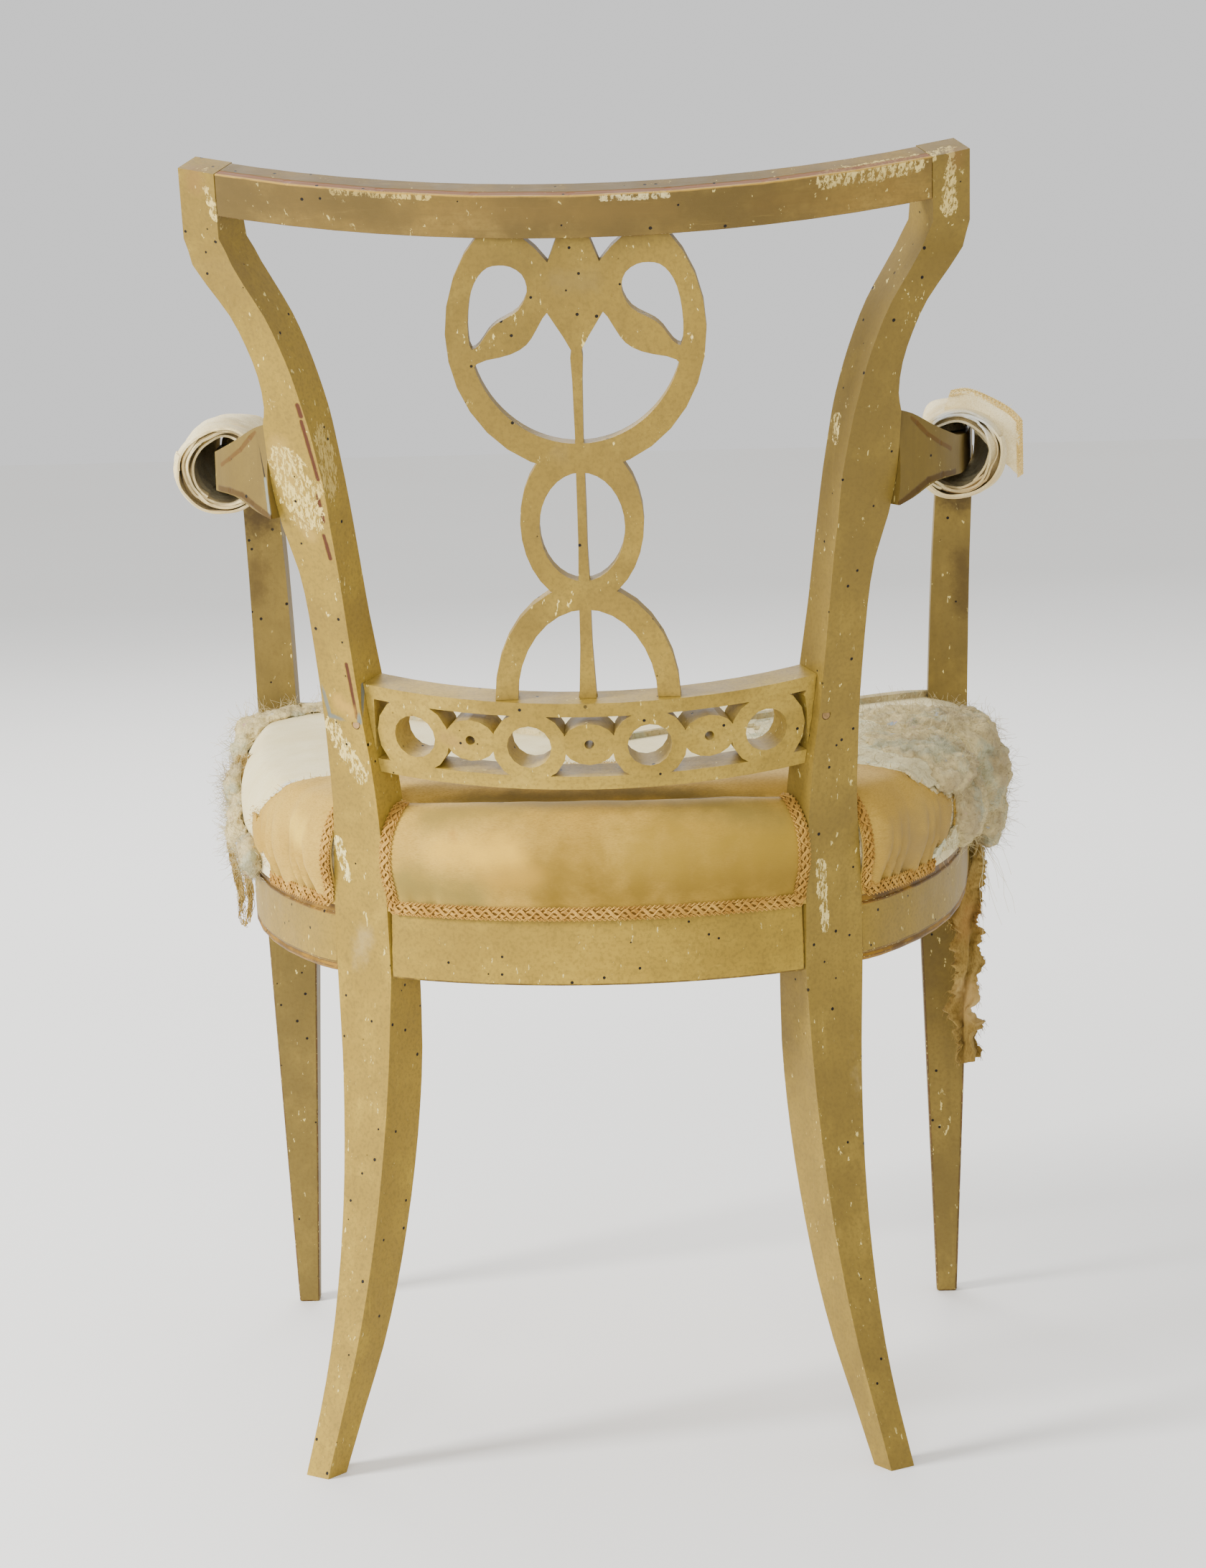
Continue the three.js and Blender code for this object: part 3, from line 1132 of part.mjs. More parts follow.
addPair("rear_leg", rearLeg(), looks.paint);
add("crest_rail", crestRail(), looks.paint);
add("cross_rail", crossRail(), looks.paint);
add("splat", splatPiece(), looks.paint);
addPair("cross_peg", crossPeg(), looks.wood);
add("rear_rail", rearRail(), looks.paint);
addPair("side_rail", sideRail(), looks.paint);
add("front_rail", frontRail(), looks.paint);
addPair("front_leg", frontLegSolid(), looks.paint);
addPair("arm_post", armPost(), looks.paint);
addPair("arm", armPiece(), looks.paint);
addPair("rear_brace", rearBrace(), looks.wood);
addPair("front_brace", frontBrace(), looks.wood);
webbingStraps().forEach(([name, solid]) => add(name,
  solid.intersect(insetSlab(railTop, railTop + seat.hessianUnder)), looks.webbing));
add("hessian", hessian(), looks.hessian);
add("seat_stuffing", seatStuffing(), looks.flock);
add("calico", calico(), looks.calico);
add("seat_cover", seatCover(), looks.cloth);
add("gimp_rear", gimpRear(), looks.braid);
addPair("gimp_side", gimpSide(), looks.braid);
add("wadding_right", mirrored(cut(wadding(waddingRightShares), strip(stripRightShares, gap))), looks.flock);
add("wadding_left", cut(wadding(waddingLeftShares), strip(stripLeftShares, gap)), looks.flock);
add("torn_strip_right", mirrored(hangingStrip(stripRightShares)), looks.thread);
add("frayed_strip_left", hangingStrip(stripLeftShares), looks.thread);
addPair("arm_pad", padSolid(), looks.calico);
addPair("arm_wrap", armWrap(), looks.cotton);
add("wrap_tail_right", mirrored(tailPiece()), looks.cotton);

// The part's origin lies on its mirror plane, at the floor, halfway from front to back
const box = new THREE.Box3().setFromObject(chair);
const middle = (box.min.y + box.max.y) / 2;
chair.children.forEach((mesh) => mesh.geometry.translate(0, -middle, -box.min.z));

export default chair;
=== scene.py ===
import math
import random

import bmesh
import bpy
import numpy as np
from mathutils import Matrix, Vector, noise
from mathutils.bvhtree import BVHTree


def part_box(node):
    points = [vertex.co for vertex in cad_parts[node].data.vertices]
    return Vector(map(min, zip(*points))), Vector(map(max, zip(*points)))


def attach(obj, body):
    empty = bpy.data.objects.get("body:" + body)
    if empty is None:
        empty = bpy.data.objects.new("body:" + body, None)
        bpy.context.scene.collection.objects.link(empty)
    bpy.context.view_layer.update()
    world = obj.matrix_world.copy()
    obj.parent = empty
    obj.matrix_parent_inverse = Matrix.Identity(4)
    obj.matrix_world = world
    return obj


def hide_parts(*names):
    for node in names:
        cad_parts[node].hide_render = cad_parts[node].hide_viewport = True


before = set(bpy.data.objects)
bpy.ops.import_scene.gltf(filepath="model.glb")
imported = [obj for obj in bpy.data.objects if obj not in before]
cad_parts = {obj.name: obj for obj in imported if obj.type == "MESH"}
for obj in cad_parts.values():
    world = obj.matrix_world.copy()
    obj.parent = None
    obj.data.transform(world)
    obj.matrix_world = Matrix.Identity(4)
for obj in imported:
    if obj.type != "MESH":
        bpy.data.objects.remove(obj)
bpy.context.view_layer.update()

# Places are typed in millimetres from the seat rail's rear inner corner line; the frame is in metres
mm = 0.001
layout = {"seatDepth": 384, "railTop": 390}
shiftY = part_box("front_leg_left")[1].y + layout["seatDepth"] * mm


def at(x, y, z):
    return Vector((x * mm, y * mm + shiftY, z * mm))


# Camera: where the photograph was taken from
cameraPlace = {"azimuth": -2.153, "elevation": 10.055, "roll": -1.524, "distance": 3.5, "lens": 116.3,
               "target": (-0.8, -150, 435)}


def makeCamera(values):
    azimuth, elevation, roll = (math.radians(values[key]) for key in ("azimuth", "elevation", "roll"))
    back = Vector((math.sin(azimuth) * math.cos(elevation), math.cos(azimuth) * math.cos(elevation),
                   math.sin(elevation)))
    right = (-back).cross(Vector((0, 0, 1))).normalized()
    up = right.cross(-back)
    turnedRight = right * math.cos(roll) + up * math.sin(roll)
    turnedUp = up * math.cos(roll) - right * math.sin(roll)
    camera = bpy.data.objects.new("camera", bpy.data.cameras.new("camera"))
    camera.data.lens = values["lens"]
    camera.data.sensor_width = 36
    place = at(*values["target"]) + back * values["distance"]
    camera.matrix_world = Matrix.Translation(place) @ Matrix((turnedRight, turnedUp, back)).transposed().to_4x4()
    bpy.context.collection.objects.link(camera)
    bpy.context.scene.camera = camera


makeCamera(cameraPlace)
print("camera made")


# Colours are typed as hexadecimal screen colours
def tone(text):
    parts = [int(text[i:i + 2], 16) / 255 for i in (1, 3, 5)]
    return [c / 12.92 if c <= 0.04045 else ((c + 0.055) / 1.055) ** 2.4 for c in parts] + [1]


# One number, colour or vector in a shader, with its own maths
class Wire:
    def __init__(self, shader, socket):
        self.shader = shader
        self.socket = socket

    # Another output of the same node
    def beside(self, output):
        return Wire(self.shader, self.socket.node.outputs[output])

    def maths(self, operation, *values, clamp=False):
        return self.shader.node("Math", (self, *values), operation=operation, use_clamp=clamp)

    def vector(self, operation, *values, output=0):
        return self.shader.node("VectorMath", (self, *values), output, operation=operation)

    def __add__(self, other):
        return self.maths("ADD", other)

    def __sub__(self, other):
        return self.maths("SUBTRACT", other)

    def __rsub__(self, other):
        return self.shader.node("Math", (other, self), operation="SUBTRACT")

    def __mul__(self, other):
        return self.maths("MULTIPLY", other)

    __radd__ = __add__
    __rmul__ = __mul__

    # 0 at low, 1 at high, smooth between; low may be above high
    def step(self, low, high):
        ends = (0.0, 1.0) if low <= high else (1.0, 0.0)
        values = (self, min(low, high), max(low, high), *ends)
        return self.shader.node("MapRange", values, interpolation_type="SMOOTHSTEP")


class Shader:
    def __init__(self, name, roughness=0.6, **constants):
        self.material = bpy.data.materials.new(name)
        self.material.use_nodes = True
        self.tree = self.material.node_tree
        self.surface = self.tree.nodes["Principled BSDF"]
        self.place = self.node("TexCoord", (), "Object")
        self.set(Roughness=roughness, **constants)

    def plug(self, socket, value):
        if isinstance(value, Wire):
            self.tree.links.new(value.socket, socket)
        else:
            socket.default_value = tone(value) if isinstance(value, str) else value

    def set(self, **values):
        for key, value in values.items():
            self.plug(self.surface.inputs[key.replace("_", " ")], value)

    # A node of any type: its settings first, then the value or link of each socket, in order or by name
    def node(self, kind, values, output=0, **settings):
        made = self.tree.nodes.new("ShaderNode" + kind)
        for key, value in settings.items():
            setattr(made, key, value)
        for key, value in values.items() if isinstance(values, dict) else enumerate(values):
            self.plug(made.inputs[key], value)
        return Wire(self, made.outputs[output])

    def axis(self, index):
        return self.node("SeparateXYZ", (self.place,), index)

    def noise(self, scale, detail=3, roughness=0.55, stretch=(1, 1, 1), offset=0):
        place = self.place.vector("MULTIPLY_ADD", stretch, (offset, offset, offset))
        values = {"Vector": place, "Scale": scale, "Detail": detail, "Roughness": roughness}
        return self.node("TexNoise", values, "Fac")

    # Distance from the nearest of many scattered points, and three chance numbers for that point
    def cells(self, scale):
        distance = self.node("TexVoronoi", {"Vector": self.place, "Scale": scale}, "Distance")
        first = self.node("SeparateColor", (distance.beside("Color"),))
        return distance, [first.beside(i) for i in range(3)]

    def attribute(self, name):
        return self.node("Attribute", (), "Fac", attribute_name=name)

    # Distance from the line between two places
    def fromLine(self, start, end):
        along = end - start
        away = self.place.vector("SUBTRACT", start)
        share = away.vector("DOT_PRODUCT", along, output=1).maths(
            "MULTIPLY", 1 / max(along.length_squared, 1e-9), clamp=True)
        nearest = self.node("VectorMath", {0: along, "Scale": share}, operation="SCALE")
        return away.vector("SUBTRACT", nearest).vector("LENGTH", output=1)

    def mix(self, factor, first, second):
        return self.node("Mix", {0: factor, 6: first, 7: second}, 2, data_type="RGBA")

    # A first colour with others laid over it, each with its mask
    def layered(self, colour, layers):
        for mask, over in layers:
            colour = self.mix(mask, colour, over)
        return colour

    def bump(self, height, strength, distance):
        self.set(Normal=self.node("Bump", {"Strength": strength, "Distance": distance, "Height": height}))


# Old cream paint on wood: clouded colour, brush lines, flecks, worm holes, worn arrises, and marks of its own.
# A mark is (kind, start, end, radius, colour, strength), places in millimetres.
paintLook = {
    "base": "#a0832c", "light": "#b09335", "deep": "#8a7027", "fleck": "#dcc878", "worn": "#6b4423",
    "hole": "#120c06", "gilt": "#b47b23", "giltDeep": "#6e4c17", "arris": "#4d3818", "soot": "#5f4d22",
    "grime": "#554519", "cloud": 9, "brush": 150, "grain": (1, 1, 0.08), "holeScale": 78, "holeSize": 0.024,
    "sootFrom": 0.36, "sootTo": 0.78, "sootShare": 0.42, "fleckShare": 0.8, "arrisShare": 0.75, "wornShare": 0.8,
    "relief": 0.0007,
}


# How strongly a mark covers each place
def markFactor(shader, mark, wobble, shred):
    kind, start, end, radius, _, strength = mark
    distance = shader.fromLine(at(*start), at(*end)) + wobble * (radius * mm * (0.5 if kind == "line" else 1.1))
    soft = {"line": 0.5, "stain": 0.1, "flake": 0.72, "wash": 0.0}[kind]
    factor = distance.step(radius * mm * 1.05, radius * mm * soft)
    if kind == "flake":
        factor = (factor * 0.24 + shred).step(0.7, 0.76)
    return factor * strength


# gilt is how much of the arrises is gilded, giltBands are gilded heights, tint changes colours of paintLook
def paint(name, marks=(), gilt=0.0, giltBands=(), wear=0.5, dirt=0.0, holes=1.0, tint=None):
    look = dict(paintLook, **(tint or {}))
    shader = Shader(name, Specular_IOR_Level=0.2)
    cloud = shader.noise(look["cloud"], 4, 0.6)
    patch = shader.noise(31, 4, 0.62, offset=3)
    brush = shader.noise(look["brush"], 4, 0.65, stretch=look["grain"])
    wobble = shader.noise(170, 3, 0.65, offset=7) - 0.5
    shred = shader.noise(430, 5, 0.75, stretch=(1, 1, 0.4), offset=5)
    height = shader.axis(2)
    colour = shader.layered(look["deep"], [
        (cloud.step(0.36, 0.66), look["base"]), (patch.step(0.45, 0.75) * 0.5, look["light"]),
        (brush.step(0.46, 0.7) * 0.4, look["deep"]), (brush.step(0.4, 0.22) * 0.4, look["light"]),
        (height.step(look["sootFrom"], look["sootTo"]) * look["sootShare"], look["soot"])])
    if dirt:
        grime = shader.noise(16, 5, 0.7, offset=11)
        colour = shader.mix(grime.step(0.36, 0.7) * dirt, colour, look["grime"])
    fine = shader.noise(420, 2, 0.6, offset=2)
    colour = shader.mix(fine.step(0.42, 0.7) * 0.35, colour, look["soot"])
    chips = shader.noise(300, 3, 0.6, stretch=(1, 1, 0.42), offset=9)
    flecks = chips.step(0.665, 0.68) * patch.step(0.47, 0.56)
    colour = shader.mix(flecks * look["fleckShare"], colour, look["fleck"])
    for low, high in giltBands:
        band = height.step((low - 0.6) * mm, low * mm) * height.step((high + 0.6) * mm, high * mm)
        aged = shader.mix(patch.step(0.4, 0.6), look["giltDeep"], look["gilt"])
        colour = shader.mix(band * 0.92, colour, aged)
    edge = shader.attribute("edge")
    if gilt:
        aged = shader.mix(patch.step(0.38, 0.6), look["giltDeep"], look["gilt"])
        colour = shader.mix((edge + wobble * 0.3).step(0.2, 0.45) * gilt, colour, aged)
    else:
        rubbed = edge.step(0.02, 0.45) * shader.noise(90, 4, 0.7, offset=13).step(0.36, 0.52)
        colour = shader.mix(rubbed * look["arrisShare"], colour, look["arris"])
    worn = (edge * (wear + 0.16) + (shred - 0.5) * 0.9 + (cloud - 0.5) * 0.8).step(0.5, 0.62)
    bare = shader.mix(fine.step(0.54, 0.66), look["worn"], look["fleck"])
    colour = shader.mix(worn * look["wornShare"], colour, bare)
    lift = brush * 0.3 + fine * 0.12 - flecks * 0.4
    for mark in marks:
        factor = markFactor(shader, mark, wobble, shred)
        colour = shader.mix(factor, colour, mark[4])
        if mark[0] in ("line", "flake"):
            lift = lift - factor * 0.5
    if holes:
        distance, (chance, size, _) = shader.cells(look["holeScale"])
        hole = (distance - size * look["holeSize"]).step(0.078, 0.06) * chance.step(0.1, 0.15) * holes
        colour = shader.mix(hole, colour, look["hole"])
        lift = lift - hole * 3
    shader.set(Base_Color=colour, Roughness=0.38 + patch * 0.3)
    shader.bump(lift, 0.6, look["relief"])
    return shader.material


# Woven cloth: cloudy colour under threads and thicker slubs, with marks of its own
def cloth(name, colours, weave=900, stretch=(1, 1, 1), marks=(), sheen=0.06, roughness=0.9, depth=0.0003, patches=14):
    shader = Shader(name, roughness=roughness, Sheen_Weight=sheen, Specular_IOR_Level=0.14)
    cloud = shader.noise(patches, 4, 0.6)
    threads = shader.noise(weave, 2, 0.5, stretch=stretch)
    slub = shader.noise(weave * 0.35, 3, 0.6, stretch=tuple(s * 0.5 for s in stretch), offset=4)
    wobble = shader.noise(60, 4, 0.6, offset=7) - 0.5
    colour = shader.layered(colours[0], [
        (cloud.step(0.35, 0.65), colours[1]), (threads.step(0.4, 0.7) * 0.45, colours[2]),
        (slub.step(0.55, 0.75) * 0.3, colours[2])] + [(markFactor(shader, m, wobble, slub), m[4]) for m in marks])
    shader.set(Base_Color=colour)
    shader.bump(threads + slub * 0.6, 0.6, depth)
    return shader.material


# Wadding of mixed rags: a dull ground with flecks of coloured fibre
flockTones = {"green": "#9aa691", "shade": "#73643f", "rose": "#c98f93", "blue": "#8fa9c4", "straw": "#dcc46e"}


def flock(name, dark="#a5936a", pale="#d2c08a"):
    shader = Shader(name, roughness=1.0, Sheen_Weight=0.08, Specular_IOR_Level=0.1)
    cloud = shader.noise(26, 4, 0.65)
    fibre = shader.noise(330, 4, 0.7)
    colour = shader.layered(dark, [
        (cloud.step(0.35, 0.65), pale),
        (shader.noise(34, 3, 0.6, offset=6).step(0.5, 0.66) * 0.5, flockTones["green"]),
        (fibre.step(0.48, 0.72) * 0.55, flockTones["shade"])] + [
        (shader.noise(scale, 2, 0.5, offset=offset).step(0.7, 0.76) * 0.7, flockTones[word])
        for offset, scale, word in ((1, 70, "rose"), (5, 82, "blue"), (9, 60, "straw"))])
    shader.set(Base_Color=colour)
    shader.bump(fibre + cloud * 0.5, 1.0, 0.002)
    return shader.material


def link(name, mesh):
    piece = bpy.data.objects.new(name, mesh)
    bpy.context.collection.objects.link(piece)
    return piece


def built(name, verts, faces):
    mesh = bpy.data.meshes.new(name)
    mesh.from_pydata([tuple(v) for v in verts], [], faces)
    return link(name, mesh)


# A sheet from rows of places, each row with the same count
def sheetOf(name, verts, count):
    faces = [(a, a + 1, a + count + 1, a + count) for a in range(len(verts) - count) if (a + 1) % count]
    return built(name, verts, faces)


def select(piece):
    bpy.ops.object.select_all(action="DESELECT")
    piece.select_set(True)
    bpy.context.view_layer.objects.active = piece


def finished(piece, material, replaced=(), angle=35):
    piece.data.materials.clear()
    piece.data.materials.append(material)
    select(piece)
    bpy.ops.object.shade_smooth_by_angle(angle=math.radians(angle))
    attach(piece, "root")
    if replaced:
        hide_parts(*replaced)
    return piece


def apply(piece, kind, **settings):
    made = piece.modifiers.new(kind.lower(), kind)
    for key, value in settings.items():
        setattr(made, key, value)
    select(piece)
    bpy.ops.object.modifier_apply(modifier=made.name)


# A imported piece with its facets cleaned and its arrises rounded; the attribute edge is 1 along each arris
def refined(node, width, segments=2, angle=32):
    piece = link(f"{node}_piece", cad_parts[node].data.copy())
    mesh = bmesh.new()
    mesh.from_mesh(piece.data)
    bmesh.ops.remove_doubles(mesh, verts=mesh.verts, dist=2e-5)
    bmesh.ops.dissolve_limit(mesh, angle_limit=math.radians(0.7), verts=mesh.verts, edges=mesh.edges)
    sharp = [edge for edge in mesh.edges if len(edge.link_faces) == 2
             and edge.calc_face_angle(0) > math.radians(angle) and edge.calc_length() > 0.0004]
    made = bmesh.ops.bevel(mesh, geom=sharp, offset=width * mm, segments=segments, profile=0.5, affect="EDGES",
                           clamp_overlap=True)
    layer = mesh.verts.layers.float.new("edge")
    rounded = set(made["faces"])
    for vert in {vert for face in rounded for vert in face.verts}:
        vert[layer] = 1.0 if all(face in rounded for face in vert.link_faces) else 0.0
    bmesh.ops.triangulate(mesh, faces=[face for face in mesh.faces if len(face.verts) > 4])
    mesh.to_mesh(piece.data)
    mesh.free()
    return piece


def wooden(node, material, width=1.4, segments=2):
    piece = finished(refined(node, width, segments), material, [node])
    apply(piece, "WEIGHTED_NORMAL", keep_sharp=True, weight=60)
    return piece


# Tones of the marks that come back on several pieces
crack, chip, paleChip, scratch, filler = "#4a250c", "#cdb56b", "#dcc67c", "#8d7336", "#62655a"
ochre, dirtyWax, topGrime, handGrime = "#a98a3f", "#a99461", "#7b5a2c", "#35260f"
legMarksLeft = [
    ("line", (182, 51, 722), (180, 50, 715), 2.2, crack, 1), ("line", (180, 49, 711), (171, 43, 673), 1.9, crack, 1),
    ("line", (172, 40, 662), (169, 37, 645), 2.0, crack, 1), ("line", (169, 34, 635), (166, 33, 620), 2.0, crack, 1),
    ("line", (159, 20, 548), (154, 15, 512), 1.8, crack, 1),
    ("stain", (196, 36, 690), (192, 33, 664), 14, ochre, 0.7),
    ("stain", (185, 30, 645), (178, 28, 636), 8, ochre, 0.6),
    ("flake", (192, 34, 682), (180, 32, 650), 16, "#cdb566", 1),
    ("flake", (167, 38, 700), (165, 36, 668), 11, "#c0a65a", 0.8),
    ("line", (212, 20, 705), (207, 25, 672), 0.8, "#1d150c", 1),
    ("line", (207, 25, 672), (205, 27, 649), 1.5, "#77796a", 0.9),
    ("line", (205, 36, 710), (186, 38, 683), 0.9, scratch, 0.8),
    ("line", (186, 38, 683), (171, 44, 694), 0.9, scratch, 0.8),
    ("line", (201, 24, 658), (178, 30, 640), 0.9, scratch, 0.8),
    ("flake", (172, 0, 505), (154, 6, 472), 8, "#d2bb6e", 1),
    ("line", (178, 6, 532), (172, 2, 512), 2.0, filler, 0.9),
    ("line", (172, 2, 512), (153, 10, 508), 2.6, filler, 0.95),
    ("line", (152, 15, 509), (149, 14, 533), 2.4, filler, 0.95),
    ("stain", (165, 8, 522), (158, 12, 516), 8, "#b18a35", 0.7),
    ("flake", (172, -17, 424), (167, -15, 400), 5, "#e0cd84", 1),
    ("flake", (234, 62, 872), (228, 60, 845), 5, chip, 0.9), ("flake", (224, 55, 838), (216, 52, 826), 4, chip, 0.9),
    ("wash", (240, 66, 884), (240, 60, 866), 11, topGrime, 0.6),
    ("flake", (200, 45, 722), (206, 42, 712), 5, chip, 0.8),
    ("stain", (158, -8, 360), (166, -10, 340), 12, dirtyWax, 0.5),
]
legMarksRight = [
    ("flake", (-238, 61, 876), (-238, 53, 838), 7, chip, 0.9),
    ("flake", (-228, 66, 874), (-226, 60, 862), 6, chip, 0.9),
    ("wash", (-242, 66, 884), (-242, 60, 868), 9, topGrime, 0.6),
    ("flake", (-165, 32, 704), (-165, 32, 690), 5, paleChip, 1),
    ("flake", (-190, 40, 745), (-176, 38, 712), 6, chip, 0.9),
    ("flake", (-149, -3, 404), (-153, -6, 360), 5, paleChip, 0.9),
    ("flake", (-185, 20, 660), (-196, 18, 664), 5, chip, 0.9),
    ("line", (-178, 40, 706), (-168, 36, 684), 1.6, "#9a6238", 0.9),
    ("stain", (-172, -8, 300), (-176, -12, 250), 10, dirtyWax, 0.5),
]
crestMarks = [
    ("flake", (-217, 71, 868), (-160, 93, 861), 8, "#d0b970", 0.9),
    ("flake", (-60, 112, 855), (-20, 114, 854), 3, "#d8c68c", 0.9),
    ("flake", (150, 96, 861), (90, 109, 857), 3, "#b9a058", 0.9),
    ("wash", (225, 68, 862), (130, 100, 850), 20, "#54431d", 0.55),
    ("wash", (80, 110, 848), (-60, 112, 846), 14, "#6b5424", 0.5),
    ("wash", (-120, 103, 846), (-200, 80, 854), 14, "#664f20", 0.45),
]
# Along its rear top arris the paint is rubbed down to a gold line over brown wood
crestArris = [(228, 70.5, 872.6), (180, 88.3, 866), (121, 103.6, 860.4), (61, 112.9, 857.1), (0, 116, 856),
              (-61, 112.9, 857.1), (-121, 103.6, 860.4), (-180, 88.3, 866), (-228, 70.5, 872.6)]
for start, end in zip(crestArris, crestArris[1:]):
    inner = [(x, y - 3, z + 1.6) for x, y, z in (start, end)]
    crestMarks += [("line", *inner, 3.4, "#74441c", 0.85), ("line", start, end, 1.3, "#a98536", 0.85)]
crossMarks = [
    ("line", (116, 26, 520), (116, 24, 486), 1.3, "#4a2114", 0.95),
    ("line", (117, 25, 486), (108, 24, 474), 1.2, "#4a2114", 0.9),
    ("line", (112, 26, 512), (106, 30, 508), 1.2, "#7a3c22", 0.8),
    ("line", (107, 30, 482), (106, 28, 468), 1.0, "#7a3c22", 0.8),
    ("stain", (96, 34, 500), (84, 38, 494), 7, "#94723d", 0.5),
    ("flake", (140, 18, 500), (126, 22, 490), 5, "#d0bb80", 0.8),
]
splatMarks = [
    ("flake", (-36, 96, 775), (-20, 96, 782), 4, "#c9b163", 0.9),
    ("flake", (-72, 92, 765), (-74, 90, 752), 4, "#d8c27a", 1),
    ("stain", (-10, 98, 800), (10, 98, 800), 12, "#7c6836", 0.5),
    ("flake", (50, 96, 800), (40, 98, 806), 4, "#cbb878", 1),
]
across = {"grain": (0.08, 1, 1)}
dull = {"base": "#806a2e", "light": "#8f7735", "deep": "#6a5828"}
armMarks = [("line", (212, 20, 705), (207, 25, 672), 0.8, "#1d150c", 1),
            ("line", (207, 25, 672), (205, 27, 649), 1.5, "#77796a", 0.9)]
# A dark line along the top and the bottom of each arm's boss
bossLines = [([(214, 21, 702), (217, 17, 698), (224, 11, 690), (232, 0, 683), (239, -11, 678)], 2.0, "#573c0e"),
             ([(205, 27, 647), (217, 17, 655), (224, 11, 660), (233, -1, 662), (242, -18, 662)], 2.6, "#46310a")]
for side in (1, -1):
    for rows, size, colour in bossLines:
        armMarks += [("line", (side * a[0], *a[1:]), (side * b[0], *b[1:]), size, colour, 0.9)
                     for a, b in zip(rows, rows[1:])]
paintPlain = paint("paint_plain", dirt=0.15, tint=dull)
paintGilt = paint("paint_gilt", armMarks, gilt=0.95, dirt=0.25, tint={
    "base": "#6f5b24", "light": "#7f692a", "deep": "#5b491d", "gilt": "#704c13", "giltDeep": "#48310e"})
paintPost = paint("paint_post", gilt=0.9, dirt=0.35, tint=dict(dull, gilt="#8f6119"), marks=[
    ("stain", (250, -386, 640), (256, -386, 598), 25, handGrime, 0.85),
    ("stain", (-250, -386, 640), (-256, -386, 604), 22, handGrime, 0.8),
    ("wash", (258, -386, 560), (260, -386, 540), 14, "#4b3a18", 0.7),
    ("wash", (-258, -386, 556), (-260, -386, 520), 13, "#4b3a18", 0.8)])
railBands = [(371.6, 378.4), (333, 338)]
paintSide = paint("paint_side", giltBands=railBands, dirt=0.25, tint=dict(
    across, base="#8a7029", light="#987d31", gilt="#86600f", giltDeep="#54390c"))
for node, look in (
        ("rear_leg_left", paint("paint_leg_left", legMarksLeft)),
        # The right leg's darker tint is painted shade: the same paint as the left leg, darkened for its side turned
        # from the light
        ("rear_leg_right", paint("paint_leg_right_shaded", legMarksRight, tint={
            "base": "#8a712b", "light": "#997f34", "deep": "#776127"})),
        ("crest_rail", paint("paint_crest", crestMarks, dirt=0.4, wear=0.7, tint={
            "base": "#947430", "light": "#b09045", "deep": "#5a4720", "grain": (0.06, 0.3, 1), "brush": 330})),
        ("cross_rail", paint("paint_cross", crossMarks, dirt=0.15, tint=dict(
            across, base="#ab8e38", light="#bb9f48"))),
        ("splat", paint("paint_splat", splatMarks, dirt=0.2, tint={
            "base": "#a08331", "light": "#ae923e", "deep": "#866d2b"})),
        ("rear_rail", paint("paint_rear_rail", wear=0.3, tint=across)), ("side_rail_left", paintSide),
        ("side_rail_right", paintSide), ("front_rail", paintSide), ("front_leg_left", paintPlain),
        ("front_leg_right", paintPlain),
        ("arm_post_left", paintPost), ("arm_post_right", paintPost)):
    wooden(node, look, 1.0 if node in ("cross_rail", "splat") else 2.2 if "post" in node else 1.8)
for node in ("arm_left", "arm_right"):
    wooden(node, paintGilt, 2.6, 3)
bareWood = paint("bare_wood", tint={"base": "#9c7a4c", "light": "#ab8a5b", "deep": "#7c5d36"}, wear=0.1, holes=0.6)
for node in ("cross_peg_left", "cross_peg_right", "rear_brace_left", "rear_brace_right", "front_brace_left",
             "front_brace_right"):
    wooden(node, bareWood, 0.5)
print("wood done")

# Seat outline in plan, from the rear centre round the +X side to the front centre
seat = {
    "halfBack": 138.2, "rearBow": 36, "cornerOut": 176.1, "cornerBack": -27.6, "halfFront": 261.5, "blockDeep": 40,
    "blockInner": 223, "frontBow": 12, "round": 12, "crown": 68, "bulge": 6.6, "lap": 11, "spacing": 3.0, "rows": 74,
}
sideShares = [(0, 0), (0.163, 0.043), (0.479, 0.181), (0.748, 0.371), (0.9, 0.61), (1, 1)]
padShares = [(0, -11 / 68, 0), (0.1, 0, 0), (0.95, 0.27, 0), (0.75, 0.55, 0), (-0.6, 0.76, 0), (-2.4, 0.87, 0),
             (-4.6, 0.94, 0.1), (-4.6, 0.98, 0.45), (-4.6, 1, 0.9), (-4.6, 1, 0.985)]


# A smooth curve through the points
def smoothLine(points, steps):
    rows = np.array(points, float)
    out = []
    for i in range(len(rows) - 1):
        before, start, end, after = rows[max(i - 1, 0)], rows[i], rows[i + 1], rows[min(i + 2, len(rows) - 1)]
        for k in range(steps):
            t = k / steps
            slopes = (end - before) / 2, (after - start) / 2
            out.append((2 * t ** 3 - 3 * t ** 2 + 1) * start + (t ** 3 - 2 * t ** 2 + t) * slopes[0]
                       + (3 * t ** 2 - 2 * t ** 3) * end + (t ** 3 - t ** 2) * slopes[1])
    return np.array(out + [rows[-1]])


# A flat arc by its half width and rise, from the middle outwards
def arc(half, sagitta, y, sign, steps):
    radius = (half ** 2 + sagitta ** 2) / (2 * sagitta)
    angles = np.linspace(0, math.asin(half / radius), steps)
    return np.stack([radius * np.sin(angles), y + sign * (radius * np.cos(angles) - radius + sagitta)], 1)


